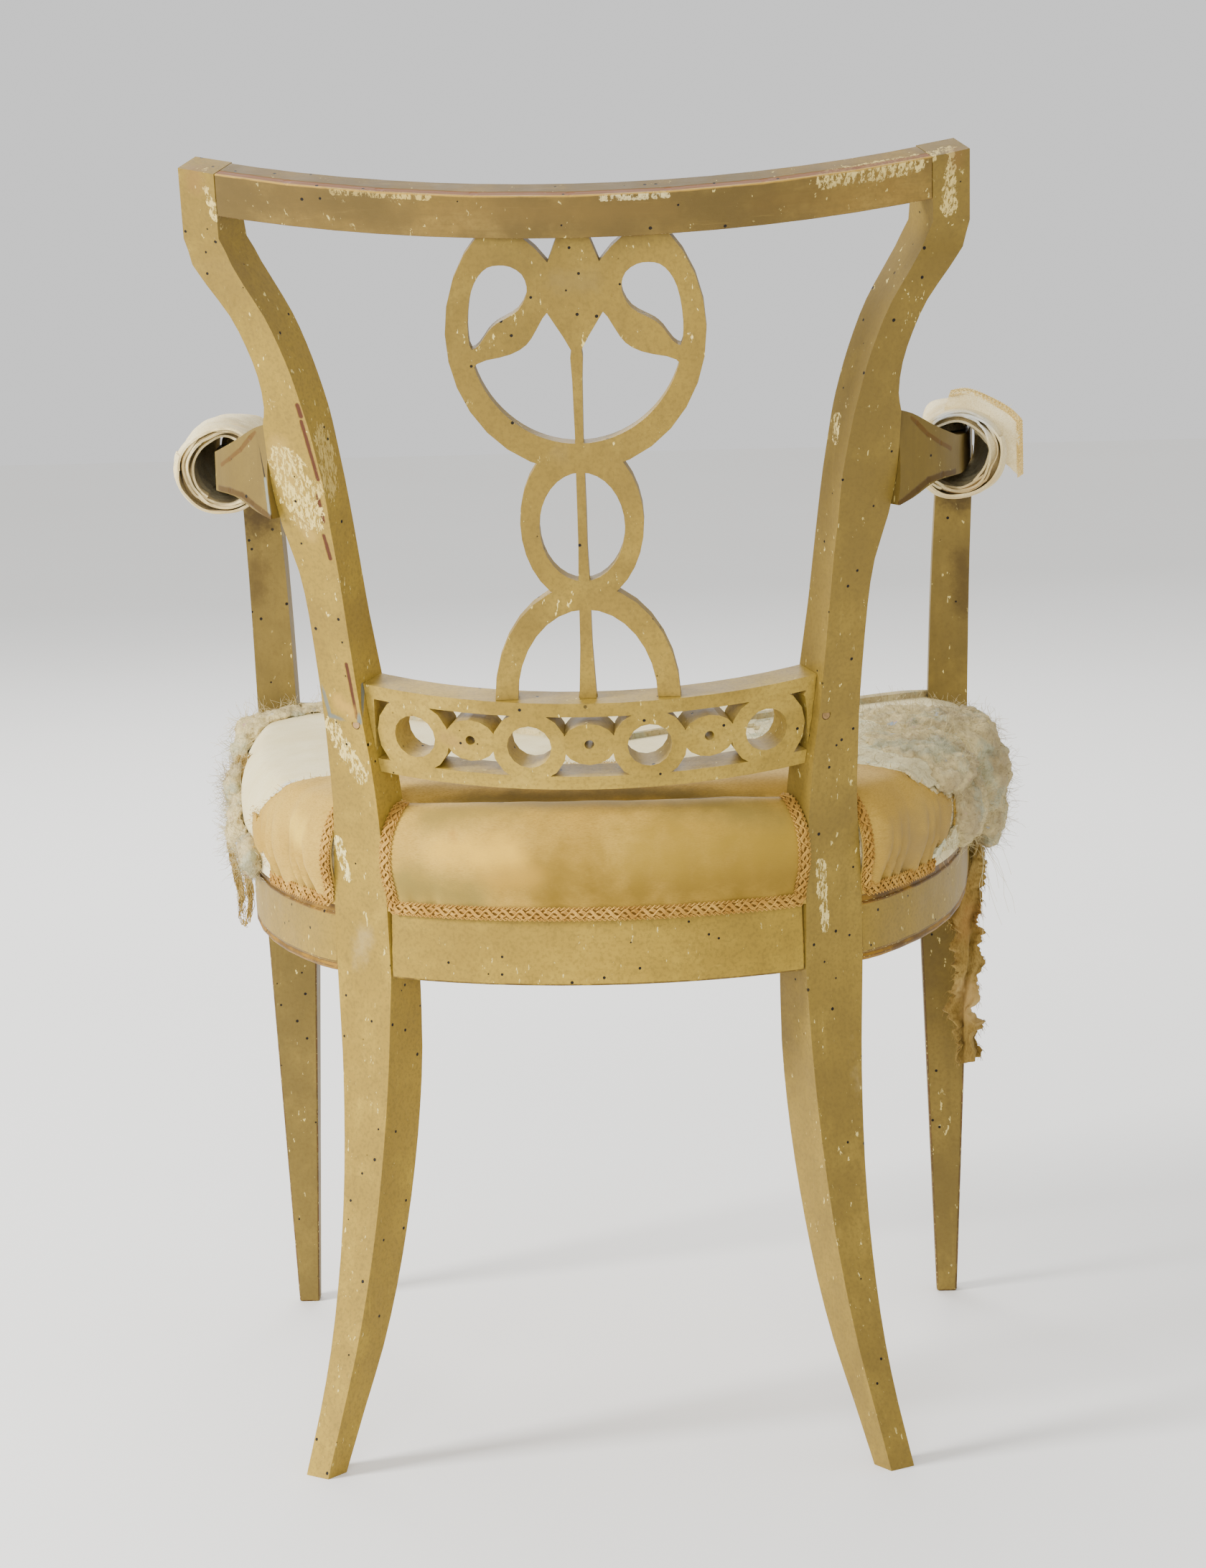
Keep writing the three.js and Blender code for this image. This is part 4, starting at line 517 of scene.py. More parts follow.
# The same line with its places evenly spaced
def evenly(points, spacing, closed=False):
    if closed:
        points = np.vstack([points, points[:1]])
    lengths = np.concatenate([[0], np.cumsum(np.linalg.norm(np.diff(points, axis=0), axis=1))])
    count = max(2, int(round(lengths[-1] / spacing)) + 1)
    places = np.linspace(0, lengths[-1], count)
    out = np.stack([np.interp(places, lengths, points[:, i]) for i in range(points.shape[1])], 1)
    return out[:-1] if closed else out


# Half the seat's outline in plan, then the same mirrored
def seatOutline():
    front = -layout["seatDepth"] - seat["blockDeep"]
    side = smoothLine([(seat["cornerOut"] + (seat["halfFront"] - seat["cornerOut"]) * out,
                        seat["cornerBack"] + (-layout["seatDepth"] - seat["cornerBack"]) * forward)
                       for out, forward in sideShares], 12)
    wide, corner = seat["halfFront"], seat["round"]
    turn = smoothLine([(wide, front + 2 * corner), (wide - 2, front + corner), (wide - corner, front + 2),
                       (wide - 2 * corner, front)], 4)
    half = np.vstack([arc(seat["halfBack"], seat["rearBow"], 0, 1, 30), side, turn,
                      arc(seat["blockInner"], seat["frontBow"], front, -1, 20)[::-1]])
    whole = np.vstack([half, half[1:-1][::-1] * [-1, 1]])
    return evenly(whole, seat["spacing"], True)


outline = seatOutline()
seatCentre = np.array([0, -174.0])
ahead, behind = np.roll(outline, -1, 0), np.roll(outline, 1, 0)
way = ahead - behind
outwards = np.stack([way[:, 1], -way[:, 0]], 1) / np.linalg.norm(way, axis=1)[:, None]
outwards *= np.sign(np.sum(outwards * (outline - seatCentre), axis=1).mean())
for _ in range(3):
    outwards = (np.roll(outwards, 1, 0) + outwards + np.roll(outwards, -1, 0)) / 3
outwards /= np.linalg.norm(outwards, axis=1)[:, None]


# The seat's surface: rows from the rail up and in to the centre, each a ring of the outline
def seatSurface():
    profile = evenly(smoothLine([(out * 0.1, up, share * 2) for out, up, share in padShares], 12), 1e-3)
    rows = profile[np.linspace(0, len(profile) - 1, seat["rows"]).astype(int)] * [10, 1, 0.5]
    grid = np.zeros((len(rows), len(outline), 3))
    for j, (out, up, share) in enumerate(rows):
        ring = outline + outwards * out * seat["bulge"]
        grid[j, :, :2] = ring * (1 - share) + seatCentre * share
        grid[j, :, 2] = layout["railTop"] + up * seat["crown"]
    return grid


# The outward normal at each place of the grid
def gridNormals(grid):
    across = np.roll(grid, -1, 1) - np.roll(grid, 1, 1)
    up = np.gradient(grid, axis=0)
    normals = np.cross(across, up)
    normals /= np.linalg.norm(normals, axis=2)[:, :, None] + 1e-9
    if (normals[-20, :, 2]).mean() < 0:
        normals = -normals
    return normals


# A copy of the grid, each place moved along its normal by what push gives for it
def pushed(grid, normals, push):
    shaped = grid.copy()
    for j, k in np.ndindex(grid.shape[:2]):
        shaped[j, k] += normals[j, k] * push(*grid[j, k])
    return shaped


# The hollow just forward of the rolled rear edge of the seat: a soft dip with a sharp crease in it
valley = {"behind": 36, "half": 170, "forward": 42, "width": 13, "deep": 7.5, "crease": 2.6, "creaseWidth": 3.2,
          "lowest": 428, "foremost": -110, "fade": 20}


def valleyPush(x, y, z):
    if z < valley["lowest"] or abs(x) > valley["half"] or y < valley["foremost"]:
        return 0
    away = y - (valley["behind"] * (1 - (x / valley["half"]) ** 2) - valley["forward"])
    away += 3 * noise.noise(Vector((x * 0.02, 0, 0)))
    dip = valley["deep"] * math.exp(-(away / valley["width"]) ** 2)
    dip += valley["crease"] * math.exp(-(away / valley["creaseWidth"]) ** 2)
    return -dip * min(1, (valley["half"] - abs(x)) / valley["fade"])


baseGrid = seatSurface()
baseGrid = pushed(baseGrid, gridNormals(baseGrid), valleyPush)
baseNormals = gridNormals(baseGrid)


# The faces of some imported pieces, to measure from
def treeOf(*names):
    verts, faces = [], []
    for name in names:
        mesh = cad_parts[name].data
        start = len(verts)
        verts += [v.co.copy() for v in mesh.vertices]
        faces += [[start + i for i in p.vertices] for p in mesh.polygons]
    return BVHTree.FromPolygons(verts, faces)


postTree = treeOf("front_leg_left", "front_leg_right", "arm_post_left", "arm_post_right")


# How far a place is outside the posts, below 0 inside, with the nearest place on them and its normal
def clearance(point):
    place, normal, _, distance = postTree.find_nearest(point)
    return (distance if (point - place).dot(normal) > 0 else -distance), place, normal


# The stile's section at the seat: height, inner rear corner, width, depth and turn in degrees
stileSections = [(378, 139.1, 2.1, 45.8, 28.4, 36.0), (420, 141.0, 5.5, 41.8, 27.0, 35.6),
                 (460, 144.0, 9.5, 37.1, 27.0, 34.6)]


# Place across the stile from its inner face, place behind its rear face, its width and depth, and both directions
def besideStile(x, y, z):
    heights, *columns = zip(*stileSections)
    cornerX, cornerY, width, depth, turn = (np.interp(z, heights, column) for column in columns)
    angle = math.radians(turn)
    wide = np.array([math.cos(angle), -math.sin(angle)])
    rear = np.array([math.sin(angle), math.cos(angle)])
    away = np.array([abs(x) - cornerX, y - cornerY])
    return away @ wide, away @ rear, width, depth, wide, rear


# A place pushed clear of the stile, or None where it lies deep in it or straight behind it
def clearOfStile(x, y, z, room=0.5, reach=3.4):
    across, behind, width, depth, wide, rear = besideStile(x, y, z)
    pushes = [(across + room, -wide), (width - across + room, wide), (behind + depth + room, -rear)]
    least = min(pushes, key=lambda push: push[0])
    if least[0] <= 0:
        return np.array([x, y, z])
    if least[0] > reach:
        return None
    move = least[1] * least[0]
    return np.array([x + math.copysign(1, x) * move[0], y + move[1], z])


# Smooth noise at a place, broader for a smaller scale
def noisy(x, y, z, scale, seed=0):
    return noise.noise(Vector((x * scale + seed, y * scale - seed, z * scale + seed * 2)))


# Where the seat's layers are fitted to the wood: from which place across and forward, and how close, in metres
fitting = {"stileFrom": (110, -60), "postFrom": (200, -360), "deep": 0.0032, "room": 0.0004}


# A place of a seat layer, pushed clear of the wood, or None where it lies deep in it
def besideWood(x, y, z):
    point = at(x, y, z)
    if abs(x) > fitting["stileFrom"][0] and y > fitting["stileFrom"][1]:
        moved = clearOfStile(x, y, z)
        return None if moved is None else at(*moved)
    if abs(x) > fitting["postFrom"][0] and y < fitting["postFrom"][1]:
        gap, place, normal = clearance(point)
        if gap < -fitting["deep"]:
            return None
        if gap < fitting["room"]:
            return place + normal * fitting["room"]
    return point


# A layer of the seat: the surface raised by lift, kept where the test says so, fitted round the wood
def seatLayer(name, lift, keep, push=None, thickness=0.9):
    grid = baseGrid + baseNormals * lift
    if push:
        grid = pushed(grid, baseNormals, push)
    rows, columns = grid.shape[:2]
    mesh = bmesh.new()
    verts = {}
    for j, k in np.ndindex(rows, columns):
        point = besideWood(*grid[j, k]) if keep(*grid[j, k]) else None
        if point is not None:
            verts[j, k] = mesh.verts.new(point)
    for j in range(rows - 1):
        for k in range(columns):
            corners = [(j, k), (j, (k + 1) % columns), (j + 1, (k + 1) % columns), (j + 1, k)]
            known = [verts[c] for c in corners if c in verts]
            if len(known) >= 3:
                mesh.faces.new(known)
    top = [verts[rows - 1, k] for k in range(columns) if (rows - 1, k) in verts]
    if len(top) == columns:
        mesh.faces.new(top)
        bmesh.ops.triangulate(mesh, faces=mesh.faces[-1:])
    bmesh.ops.delete(mesh, geom=[v for v in mesh.verts if not v.link_faces], context="VERTS")
    bmesh.ops.recalc_face_normals(mesh, faces=mesh.faces)
    made = bpy.data.meshes.new(name)
    mesh.to_mesh(made)
    mesh.free()
    piece = link(name, made)
    apply(piece, "SOLIDIFY", thickness=thickness * mm, offset=0)
    return piece


# Where the top cover ends: forward place of its cut edge by distance out, left and right
tear = {
    "left": [(0, -98), (60, -92), (120, -97), (175, -95), (213, -99), (228, -109), (236, -117), (241, -135),
             (300, -140)],
    "right": [(0, -98), (60, -95), (120, -92), (175, -96), (212, -92), (226, -105), (238, -125), (243, -140),
              (300, -142)],
    "ragged": 1.6, "fine": 0.7,
}


def tearAt(x, y, z):
    edge = np.interp(abs(x), *zip(*tear["left" if x > 0 else "right"]))
    return edge + noisy(x, 0, z, 0.12) * tear["ragged"] + noisy(x, 0, z, 0.5) * tear["fine"]


# The top cover: puckers and a fold on each side, the left (1) stronger than the right (-1), and small tucks at
# the rear, each with its place across and its depth
cover = {
    "lift": 1.9, "thick": 1.0, "foremost": -160, "low": 384, "fade": 52, "sideFrom": 178, "pucker": {1: 4.2, -1: 2.8},
    "fold": {1: 3.2, -1: 1.6}, "rearTo": 430, "tucks": ((121, 2.2), (107, 2.0), (96, 1.0)), "tuckWidth": 2.2,
    "tuckHigh": 16,
}


def coverPush(x, y, z):
    if y < cover["foremost"]:
        return 0
    push = noisy(x, y, z, 0.02) * 0.8 + noisy(x, y, z, 0.07, 4) * 0.35
    low = min(1.0, max(0.0, 1 - (z - cover["low"]) / cover["fade"]))
    side = 1 if x > 0 else -1
    if abs(x) > cover["sideFrom"]:
        pucker = cover["pucker"][side] * low ** 1.1 * math.sin(y * 0.42 + math.sin(y * 0.13) * 2 + 0.02 * z)
        push += pucker * min(1, (z - 380) / 9)
        fold = math.exp(-((y + 62 + (z - 420) * 0.5) / 7) ** 2) * math.exp(-((z - 424) / 22) ** 2)
        push -= cover["fold"][side] * fold
    elif z < cover["rearTo"]:
        for spot, size in cover["tucks"]:
            away = (x - spot) / cover["tuckWidth"]
            push -= size * math.exp(-away ** 2) * max(0, 1 - (z - cover["low"]) / cover["tuckHigh"])
        push += 0.5 * low * math.sin(x * 0.21)
    return push


coverMarksAndShade = [
    ("wash", (20, 34, 400), (-130, 12, 402), 52, "#806520", 0.95),
    ("wash", (-30, 36, 424), (-130, 10, 424), 30, "#9d7f2a", 0.8),
    ("wash", (54, 38, 423), (100, 22, 422), 17, "#cfa437", 0.95),
    ("wash", (40, 40, 408), (72, 36, 404), 12, "#ad8730", 0.7),
    ("wash", (124, 12, 400), (84, 30, 392), 26, "#837034", 0.9),
    # Painted shade: a darker band along the top of the rear roll, beside the crease
    ("wash", (110, 14, 446), (-120, 14, 446), 19, "#8b7434", 0.9),
    ("stain", (92, 24, 434), (90, 25, 430), 5, "#a5701c", 0.5),
    # Painted shade in the hollow behind the roll, below the cross rail
    ("wash", (150, -16, 450), (-150, -16, 450), 14, "#6f5d2c", 0.85),
    ("wash", (-196, -56, 404), (-228, -112, 404), 40, "#8c7340", 0.9),
    ("wash", (198, -44, 424), (205, -60, 428), 14, "#dcb84a", 0.7),
    # Painted shade: dark lines along the crease at the top of the roll
    ("line", (140, -12, 451), (60, 8, 453), 1.8, "#43361a", 0.8),
    ("line", (-60, 8, 453), (-140, -12, 450), 1.8, "#43361a", 0.8),
]
# Shade gathered in the folds of the left side, by their place forward
leftSide = [row for row in outline if row[0] > 150]
for forward in (-107.9, -97.3, -87.2, -63.3, -51.1, -41.5):
    x = min(leftSide, key=lambda row: abs(row[1] - forward))[0]
    coverMarksAndShade.append(("wash", (x + 3, forward, 388), (x + 4, forward, 422), 6.5, "#7d6529", 0.75))
repCover = cloth("rep_cover", ("#ab8836", "#bd9a44", "#866823"), weave=1400, stretch=(0.35, 0.35, 2.2),
                 marks=coverMarksAndShade, sheen=0.03, roughness=0.75, depth=0.00022)
calicoLook = cloth("calico", ("#d8c995", "#e6daae", "#c3b27c"), weave=1500, depth=0.00015, marks=[
    ("wash", (213, -104, 446), (236, -122, 409), 9, "#a4b4bd", 0.6),
    ("wash", (-190, -110, 452), (-236, -135, 410), 10, "#a9b4b0", 0.5)])

topCover = seatLayer("seat_cover_piece", cover["lift"], lambda x, y, z: y > tearAt(x, y, z), coverPush,
                     cover["thick"])
finished(topCover, repCover, ["seat_cover"], 60)
calico = seatLayer("calico_piece", 0.7, lambda x, y, z: y < tearAt(x, y, z) + 16, thickness=0.7)
finished(calico, calicoLook, ["calico"], 60)
print("seat layers done")

# The filling just under the calico
stuffing = seatLayer("seat_stuffing_piece", -3.4, lambda x, y, z: True, thickness=4)
finished(stuffing, flock("stuffing_flock"), ["seat_stuffing"], 60)
jute = cloth("jute", ("#a98a58", "#b89a68", "#8a6d40"), weave=700, depth=0.0006)
hessianLook = cloth("hessian", ("#9c7f4e", "#a98c5a", "#7d6236"), weave=600, depth=0.0006)
for index in (1, 2, 3):
    for node in (f"webbing_across_{index}", f"webbing_down_{index}"):
        strap = finished(refined(node, 0.3), jute, [node], 60)
hessian = finished(refined("hessian", 0.3), hessianLook, ["hessian"], 60)
print("under-seat done")


# Round threads: each line of places becomes a thin tube
def threads(name, lines, radius, sides=5):
    verts, faces = [], []
    for line in lines:
        points = np.array(line)
        tangents = np.gradient(points, axis=0)
        tangents /= np.linalg.norm(tangents, axis=1)[:, None] + 1e-9
        reference = np.array([0.31, 0.17, 0.93])
        side = np.cross(tangents, reference)
        side /= np.linalg.norm(side, axis=1)[:, None] + 1e-9
        other = np.cross(tangents, side)
        start = len(verts)
        count = len(points)
        sizes = np.full(count, radius) if np.isscalar(radius) else np.interp(np.linspace(0, 1, count), [0, 1], radius)
        for i in range(count):
            for k in range(sides):
                angle = 2 * math.pi * k / sides
                place = points[i] + (side[i] * math.cos(angle) + other[i] * math.sin(angle)) * sizes[i]
                verts.append(at(*place))
        for i in range(count - 1):
            for k in range(sides):
                a, b = start + i * sides + k, start + i * sides + (k + 1) % sides
                faces.append((a, b, b + sides, a + sides))
        faces.append(tuple(start + k for k in range(sides)))
        faces.append(tuple(start + (count - 1) * sides + sides - 1 - k for k in range(sides)))
    return built(name, verts, faces)


def join(pieces, name):
    bpy.ops.object.select_all(action="DESELECT")
    for piece in pieces:
        piece.select_set(True)
    bpy.context.view_layer.objects.active = pieces[0]
    bpy.ops.object.join()
    pieces[0].name = name
    return pieces[0]


# Gimp: a braid of scrolls between two looped edges, laid on the cover beside the stiles and along the rails
gimp = {"fromWood": 5.0, "level": 383.2, "lift": 2.5, "pitch": 11.5, "swing": 2.2, "loop": 3.3,
        "step": 0.8, "half": 4.4, "thread": 0.46, "groundThread": 0.55}
coverGrid = baseGrid + baseNormals * gimp["lift"]


# Where the braid stands beside the stile, at a set distance from the wood, from the rail up
def riserLine(columns, inside):
    line = []
    for j in range(coverGrid.shape[0]):
        if coverGrid[j, columns[0], 2] < gimp["level"]:
            continue
        gaps = []
        for k in columns:
            across, behind, width, depth, _, _ = besideStile(*coverGrid[j, k])
            gaps.append((-across if inside else across - width, behind + depth))
        for i in range(len(gaps) - 1):
            if gaps[i][0] >= gimp["fromWood"] > gaps[i + 1][0] and gaps[i][1] > (2 if inside else 6):
                t = (gaps[i][0] - gimp["fromWood"]) / (gaps[i][0] - gaps[i + 1][0])
                here = [(1 - t) * g[j, columns[i]] + t * g[j, columns[i + 1]] for g in (coverGrid, baseNormals)]
                line.append(np.concatenate(here))
                break
        else:
            if line:
                break
    return line


# Where the braid lies along the rail
def levelLine(columns):
    j = int(np.argmin(abs(coverGrid[:, columns[0], 2] - gimp["level"])))
    return [np.concatenate([coverGrid[j, k], baseNormals[j, k]]) for k in columns]


acrossMiddle = [-1, 1, 1, -1, 1, 1]
total = len(outline)
cornerIndex = int(np.argmin(np.linalg.norm(outline - [seat["halfBack"], 0], axis=1)))
sideIndex = int(np.argmin(np.linalg.norm(outline - [seat["cornerOut"], seat["cornerBack"]], axis=1)))


# The braid's threads along rows of places and normals, and the ground under them, which on the seat gets a darker
# cloth as painted shade in the gaps
def braid(path, name, size=1.0):
    rows = evenly(np.array(path), gimp["step"])
    place, normal = rows[:, :3], rows[:, 3:]
    normal /= np.linalg.norm(normal, axis=1)[:, None]
    tangent = np.gradient(place, axis=0)
    tangent /= np.linalg.norm(tangent, axis=1)[:, None] + 1e-9
    for _ in range(4):
        tangent = (tangent + np.roll(tangent, 1, 0) + np.roll(tangent, -1, 0)) / 3
    tangent /= np.linalg.norm(tangent, axis=1)[:, None]
    side = np.cross(tangent, normal)
    distance = np.concatenate([[0], np.cumsum(np.linalg.norm(np.diff(place, axis=0), axis=1))])
    wave = 2 * math.pi * distance / (gimp["pitch"] * size)

    def strand(lateral, height):
        return place + side * lateral[:, None] * size + normal * height[:, None] * size

    lines = []
    swing, half = gimp["swing"], gimp["half"]
    for offset in (-1.3, -0.45, 0.45, 1.3):
        over = swing * np.sin(wave + 0.2 * offset) + 0.45 * offset
        under = -0.8 * swing * np.sin(wave + 0.25 * offset) + 0.4 * offset
        lines.append(strand(over, 1.7 + 0.15 * np.cos(wave * 2)))
        lines.append(strand(under, 1.15 - 0.2 * np.cos(wave * 2)))
    for sign in (-1, 1):
        quick = 2 * math.pi * distance / (gimp["loop"] * size)
        lines.append(strand(sign * (half - 0.5 + 0.7 * np.sin(quick)), 0.9 + 0.5 * np.cos(quick)))
        lines.append(strand(sign * (half - 1.2 + 0.5 * np.cos(quick)), 1.0 - 0.4 * np.sin(quick)))
    ground = [strand(np.full(len(place), offset), np.full(len(place), 0.3)) for offset in np.linspace(-3.4, 3.4, 8)]
    return (threads(name, lines, gimp["thread"] * size, 5),
            threads(f"{name}_ground", ground, gimp["groundThread"] * size, 4))


# The braid runs down beside the stile and on along the rail; the rear one goes up again on the other side
def gimpPath(side):
    if side == "rear":
        up = riserLine(list(range(cornerIndex - 26, cornerIndex + 12)), True)
        mirrorUp = [row * acrossMiddle for row in up]
        level = [row for row in levelLine([k % total for k in range(-60, 61)]) if abs(row[0]) < up[0][0]]
        level.sort(key=lambda row: -row[0])
        return up[::-1] + level + mirrorUp
    up = riserLine(list(range(sideIndex + 24, sideIndex - 12, -1)), False)
    level = [row for row in levelLine(list(range(sideIndex, sideIndex + 80)))
             if row[1] < up[0][1] and row[1] > (tearAt(row[0], row[1], row[2]) - 2)]
    path = up[::-1] + level
    return path if side == "left" else [row * acrossMiddle for row in path]


braidLook = cloth("gimp_braid", ("#a67a30", "#c29846", "#7b5620"), weave=1500, sheen=0.03, roughness=0.75,
                  depth=0.0003, patches=60)
# The ground threads are real, but their darker cloth is painted shade for the gaps between the braid's threads
groundShadeLook = cloth("gimp_ground_painted_shade", ("#7d5a22", "#8c682c", "#5c3f14"), weave=1500, sheen=0.0)
laceLook = cloth("lace", ("#d8b968", "#e3cd8c", "#a88238"), weave=1500, sheen=0.03)
for side, node in (("rear", "gimp_rear"), ("left", "gimp_side_left"), ("right", "gimp_side_right")):
    strip, ground = braid(gimpPath(side), f"{node}_piece")
    finished(strip, braidLook, [node], 60)
    finished(ground, groundShadeLook, angle=60)
print("gimp done")


# Loose fibres: fine curling threads that leave a surface
def fibresFrom(piece, count, lengths, radius, lift, seed, curl=0.5):
    chance = random.Random(seed)
    mesh = piece.data
    faces = chance.choices(range(len(mesh.polygons)), weights=[face.area for face in mesh.polygons], k=count)
    lines = []
    for index in faces:
        face = mesh.polygons[index]
        way = Vector([chance.gauss(0, 1) for _ in range(3)])
        way = (way - face.normal * way.dot(face.normal)).normalized() + face.normal * chance.uniform(*lift)
        place = face.center - face.normal * 0.0006
        step = chance.uniform(*lengths) / 5 * mm
        line = [place]
        for _ in range(5):
            way = (way.normalized() + Vector([chance.gauss(0, curl) for _ in range(3)]) * 0.6).normalized()
            place = place + way * step
            line.append(place)
        lines.append([(v.x / mm, (v.y - shiftY) / mm, v.z / mm) for v in line])
    return threads(f"{piece.name}_fibres", lines, [radius, radius * 0.5], 3)


# Matted wadding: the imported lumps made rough, then covered with loose fibres
wadding = {"voxel": 2.2, "clump": 3.2, "clumpScale": 90, "tuft": 1.7, "tuftScale": 260, "fibreRadius": 0.16}


def matted(node, look, fibres, lengths, seed):
    piece = link(f"{node}_piece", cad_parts[node].data.copy())
    apply(piece, "REMESH", mode="VOXEL", voxel_size=wadding["voxel"] * mm)
    apply(piece, "SMOOTH", factor=0.8, iterations=7)
    mesh = piece.data
    normals = [v.normal.copy() for v in mesh.vertices]
    for vert, normal in zip(mesh.vertices, normals):
        clump = noise.fractal(vert.co * wadding["clumpScale"], 0.8, 2.1, 3) * wadding["clump"]
        tuft = noise.noise(vert.co * wadding["tuftScale"]) * wadding["tuft"]
        vert.co += normal * (clump + tuft) * mm
    mesh.update()
    finished(fibresFrom(piece, fibres, lengths, wadding["fibreRadius"], (0.0, 0.8), seed), look)
    finished(piece, look, [node], 80)


flockLook = flock("wadding_flock")
matted("wadding_right", flockLook, 2600, (7, 20), 3)
matted("wadding_left", flockLook, 2200, (7, 20), 5)

# A thin felted layer that lies on the calico between the lumps and the cover's cut edge, on the right only
felt = {"lift": 3.6, "thick": 2.4, "innerEdge": -96, "frontEdge": -262, "lowest": 386, "broad": 1.6, "rough": 2.4,
        "fine": 1.5, "thinning": 1.8, "thinOver": 26}


def feltKeep(x, y, z):
    ragged = 16 * noisy(x, y, z, 0.035) + 7 * noisy(x, y, z, 0.12)
    return (x < felt["innerEdge"] + ragged and tearAt(x, y, z) + 4 > y > felt["frontEdge"] + ragged
            and z > felt["lowest"])


def feltPush(x, y, z):
    if not feltKeep(x, y, z):
        return 0
    push = felt["rough"] * noisy(x, y, z, 0.06) + felt["fine"] * noisy(x, y, z, 0.25)
    push += felt["broad"] * noisy(x, y, z, 0.025, 3)
    edge = min(1.0, max(0.0, (felt["innerEdge"] - x) / felt["thinOver"] + 0.2))
    return push - felt["thinning"] * (1 - edge)


feltLook = flock("felted_flock", "#c9bb8c", "#e8dfae")
feltPiece = seatLayer("wadding_felt_piece", felt["lift"], feltKeep, feltPush, felt["thick"])
finished(feltPiece, feltLook, ["wadding_right"], 80)
finished(fibresFrom(feltPiece, 1500, (6, 16), wadding["fibreRadius"], (0.0, 0.45), 9), flockLook)


# A loose thread: it wanders on from a place in short steps, with a spread for each direction and a drop
def wander(chance, place, way, step, count, spread, drop=0.0):
    line = [place]
    for _ in range(count):
        turn = [chance.gauss(0, spread[0]), chance.gauss(0, spread[1]), chance.gauss(drop, spread[2])]
        way = way / np.linalg.norm(way) + np.array(turn)
        place = place + way / np.linalg.norm(way) * step
        line.append(place)
    return line


# Short threads that stand out of the cover's cut edge, bent down where it hangs on the side
edgeFringe = {"seed": 31, "within": 1.8, "threads": 3, "lengths": (1.6, 5.5), "steps": 4, "curl": 0.2,
              "hangsBelow": 440, "radii": [0.2, 0.12]}


def cutEdgeFringe():
    grid = pushed(baseGrid + baseNormals * cover["lift"], baseNormals, coverPush)
    chance = random.Random(edgeFringe["seed"])
    lines = []
    for j, k in np.ndindex(grid.shape[:2]):
        x, y, z = grid[j, k]
        if abs(y - tearAt(x, y, z)) >= edgeFringe["within"] or z <= cover["low"] or clearOfStile(x, y, z) is None:
            continue
        for _ in range(edgeFringe["threads"]):
            way = np.array([chance.gauss(0, 0.35), -1, chance.gauss(0, 0.35)])
            way += baseNormals[j, k] * chance.uniform(-0.1, 0.3)
            if z < edgeFringe["hangsBelow"]:
                way += np.array([0, 0, -0.5])
            place = grid[j, k] + np.array([chance.uniform(-1.5, 1.5), 1.5, 0])
            step = chance.uniform(*edgeFringe["lengths"]) / edgeFringe["steps"]
            lines.append(wander(chance, place, way, step, edgeFringe["steps"], [edgeFringe["curl"]] * 3))
    return threads("seat_cover_fringe", lines, edgeFringe["radii"], 3)


finished(cutEdgeFringe(), repCover)
print("wadding done")


# A strip of cloth along its middle line. Rows: place of the middle, then the way from the middle to one edge.
# fray is how far its edges are torn in, folds how high it waves across.
def ribbon(name, rows, across, step, fray, folds, seed):
    chance = random.Random(seed)
    rows = evenly(smoothLine(rows, 10), step)
    middles, edges = rows[:, :3], rows[:, 3:]
    down = np.gradient(middles, axis=0)
    face = np.cross(edges, down)
    face /= np.linalg.norm(face, axis=1)[:, None]
    verts, ends = [], []
    for i in range(len(rows)):
        torn = [1 + fray * (noise.noise(Vector((i * 0.11, sign * 9, seed))) * 0.8 + chance.uniform(-0.12, 0.06)
                            + noise.noise(Vector((i * 0.45, sign * 5, seed))) * 0.35) for sign in (-1, 1)]
        for k in range(across + 1):
            share = 2 * k / across - 1
            reach = share * torn[0 if share < 0 else 1]
            wave = folds * math.sin(share * 4.5 + i * step * 0.05)
            wave += 0.5 * folds * math.sin(share * 9 + i * step * 0.11 + seed)
            verts.append(middles[i] + edges[i] * reach + face[i] * wave)
        ends.append([verts[-across - 1], verts[-1]])
    return sheetOf(name, [at(*v) for v in verts], across + 1), np.array(ends), edges


# Loose threads along both edges of a ribbon
def frayAlong(name, ends, edges, count, lengths, radius, seed, droop=0.4):
    chance = random.Random(seed)
    lines = []
    for _ in range(count):
        i = chance.randrange(len(ends))
        side = chance.choice((0, 1))
        way = edges[i] / np.linalg.norm(edges[i]) * (1 if side else -1)
        way = way + np.array([chance.gauss(0, 0.35), chance.gauss(0, 0.35), chance.gauss(-droop, 0.35)])
        place = ends[i][side] - way * 1.5
        lines.append(wander(chance, place, way, chance.uniform(*lengths) / 5, 5, (0.22, 0.22, 0.2), -droop * 0.4))
    return threads(name, lines, [radius, radius * 0.6], 3)


goldCloth = cloth("torn_gold", ("#8a6f34", "#a88e4e", "#5f461c"), weave=1000, stretch=(1, 1, 0.4), sheen=0.03,
                  roughness=0.75, depth=0.0005, marks=[
                      # Painted shade above the right strip's twist and a painted highlight below it
                      ("wash", (-262, -345, 300), (-258, -345, 286), 16, "#8c6430", 0.6),
                      ("wash", (-258, -348, 240), (-262, -348, 225), 15, "#c7a86a", 0.6)])
stripRight = [(-264.1, -347.9, 392, -2, 13, 0), (-264.9, -349.8, 362, -4, 12, 0), (-262, -351, 334, -8, 7, 0),
              (-256, -349.8, 300, -11, 3, 0), (-258.1, -352.9, 262, -9, -5, 1), (-253.9, -349.8, 228, -10, 4, 0),
              (-258.1, -352.1, 186, -7, -3, 2)]


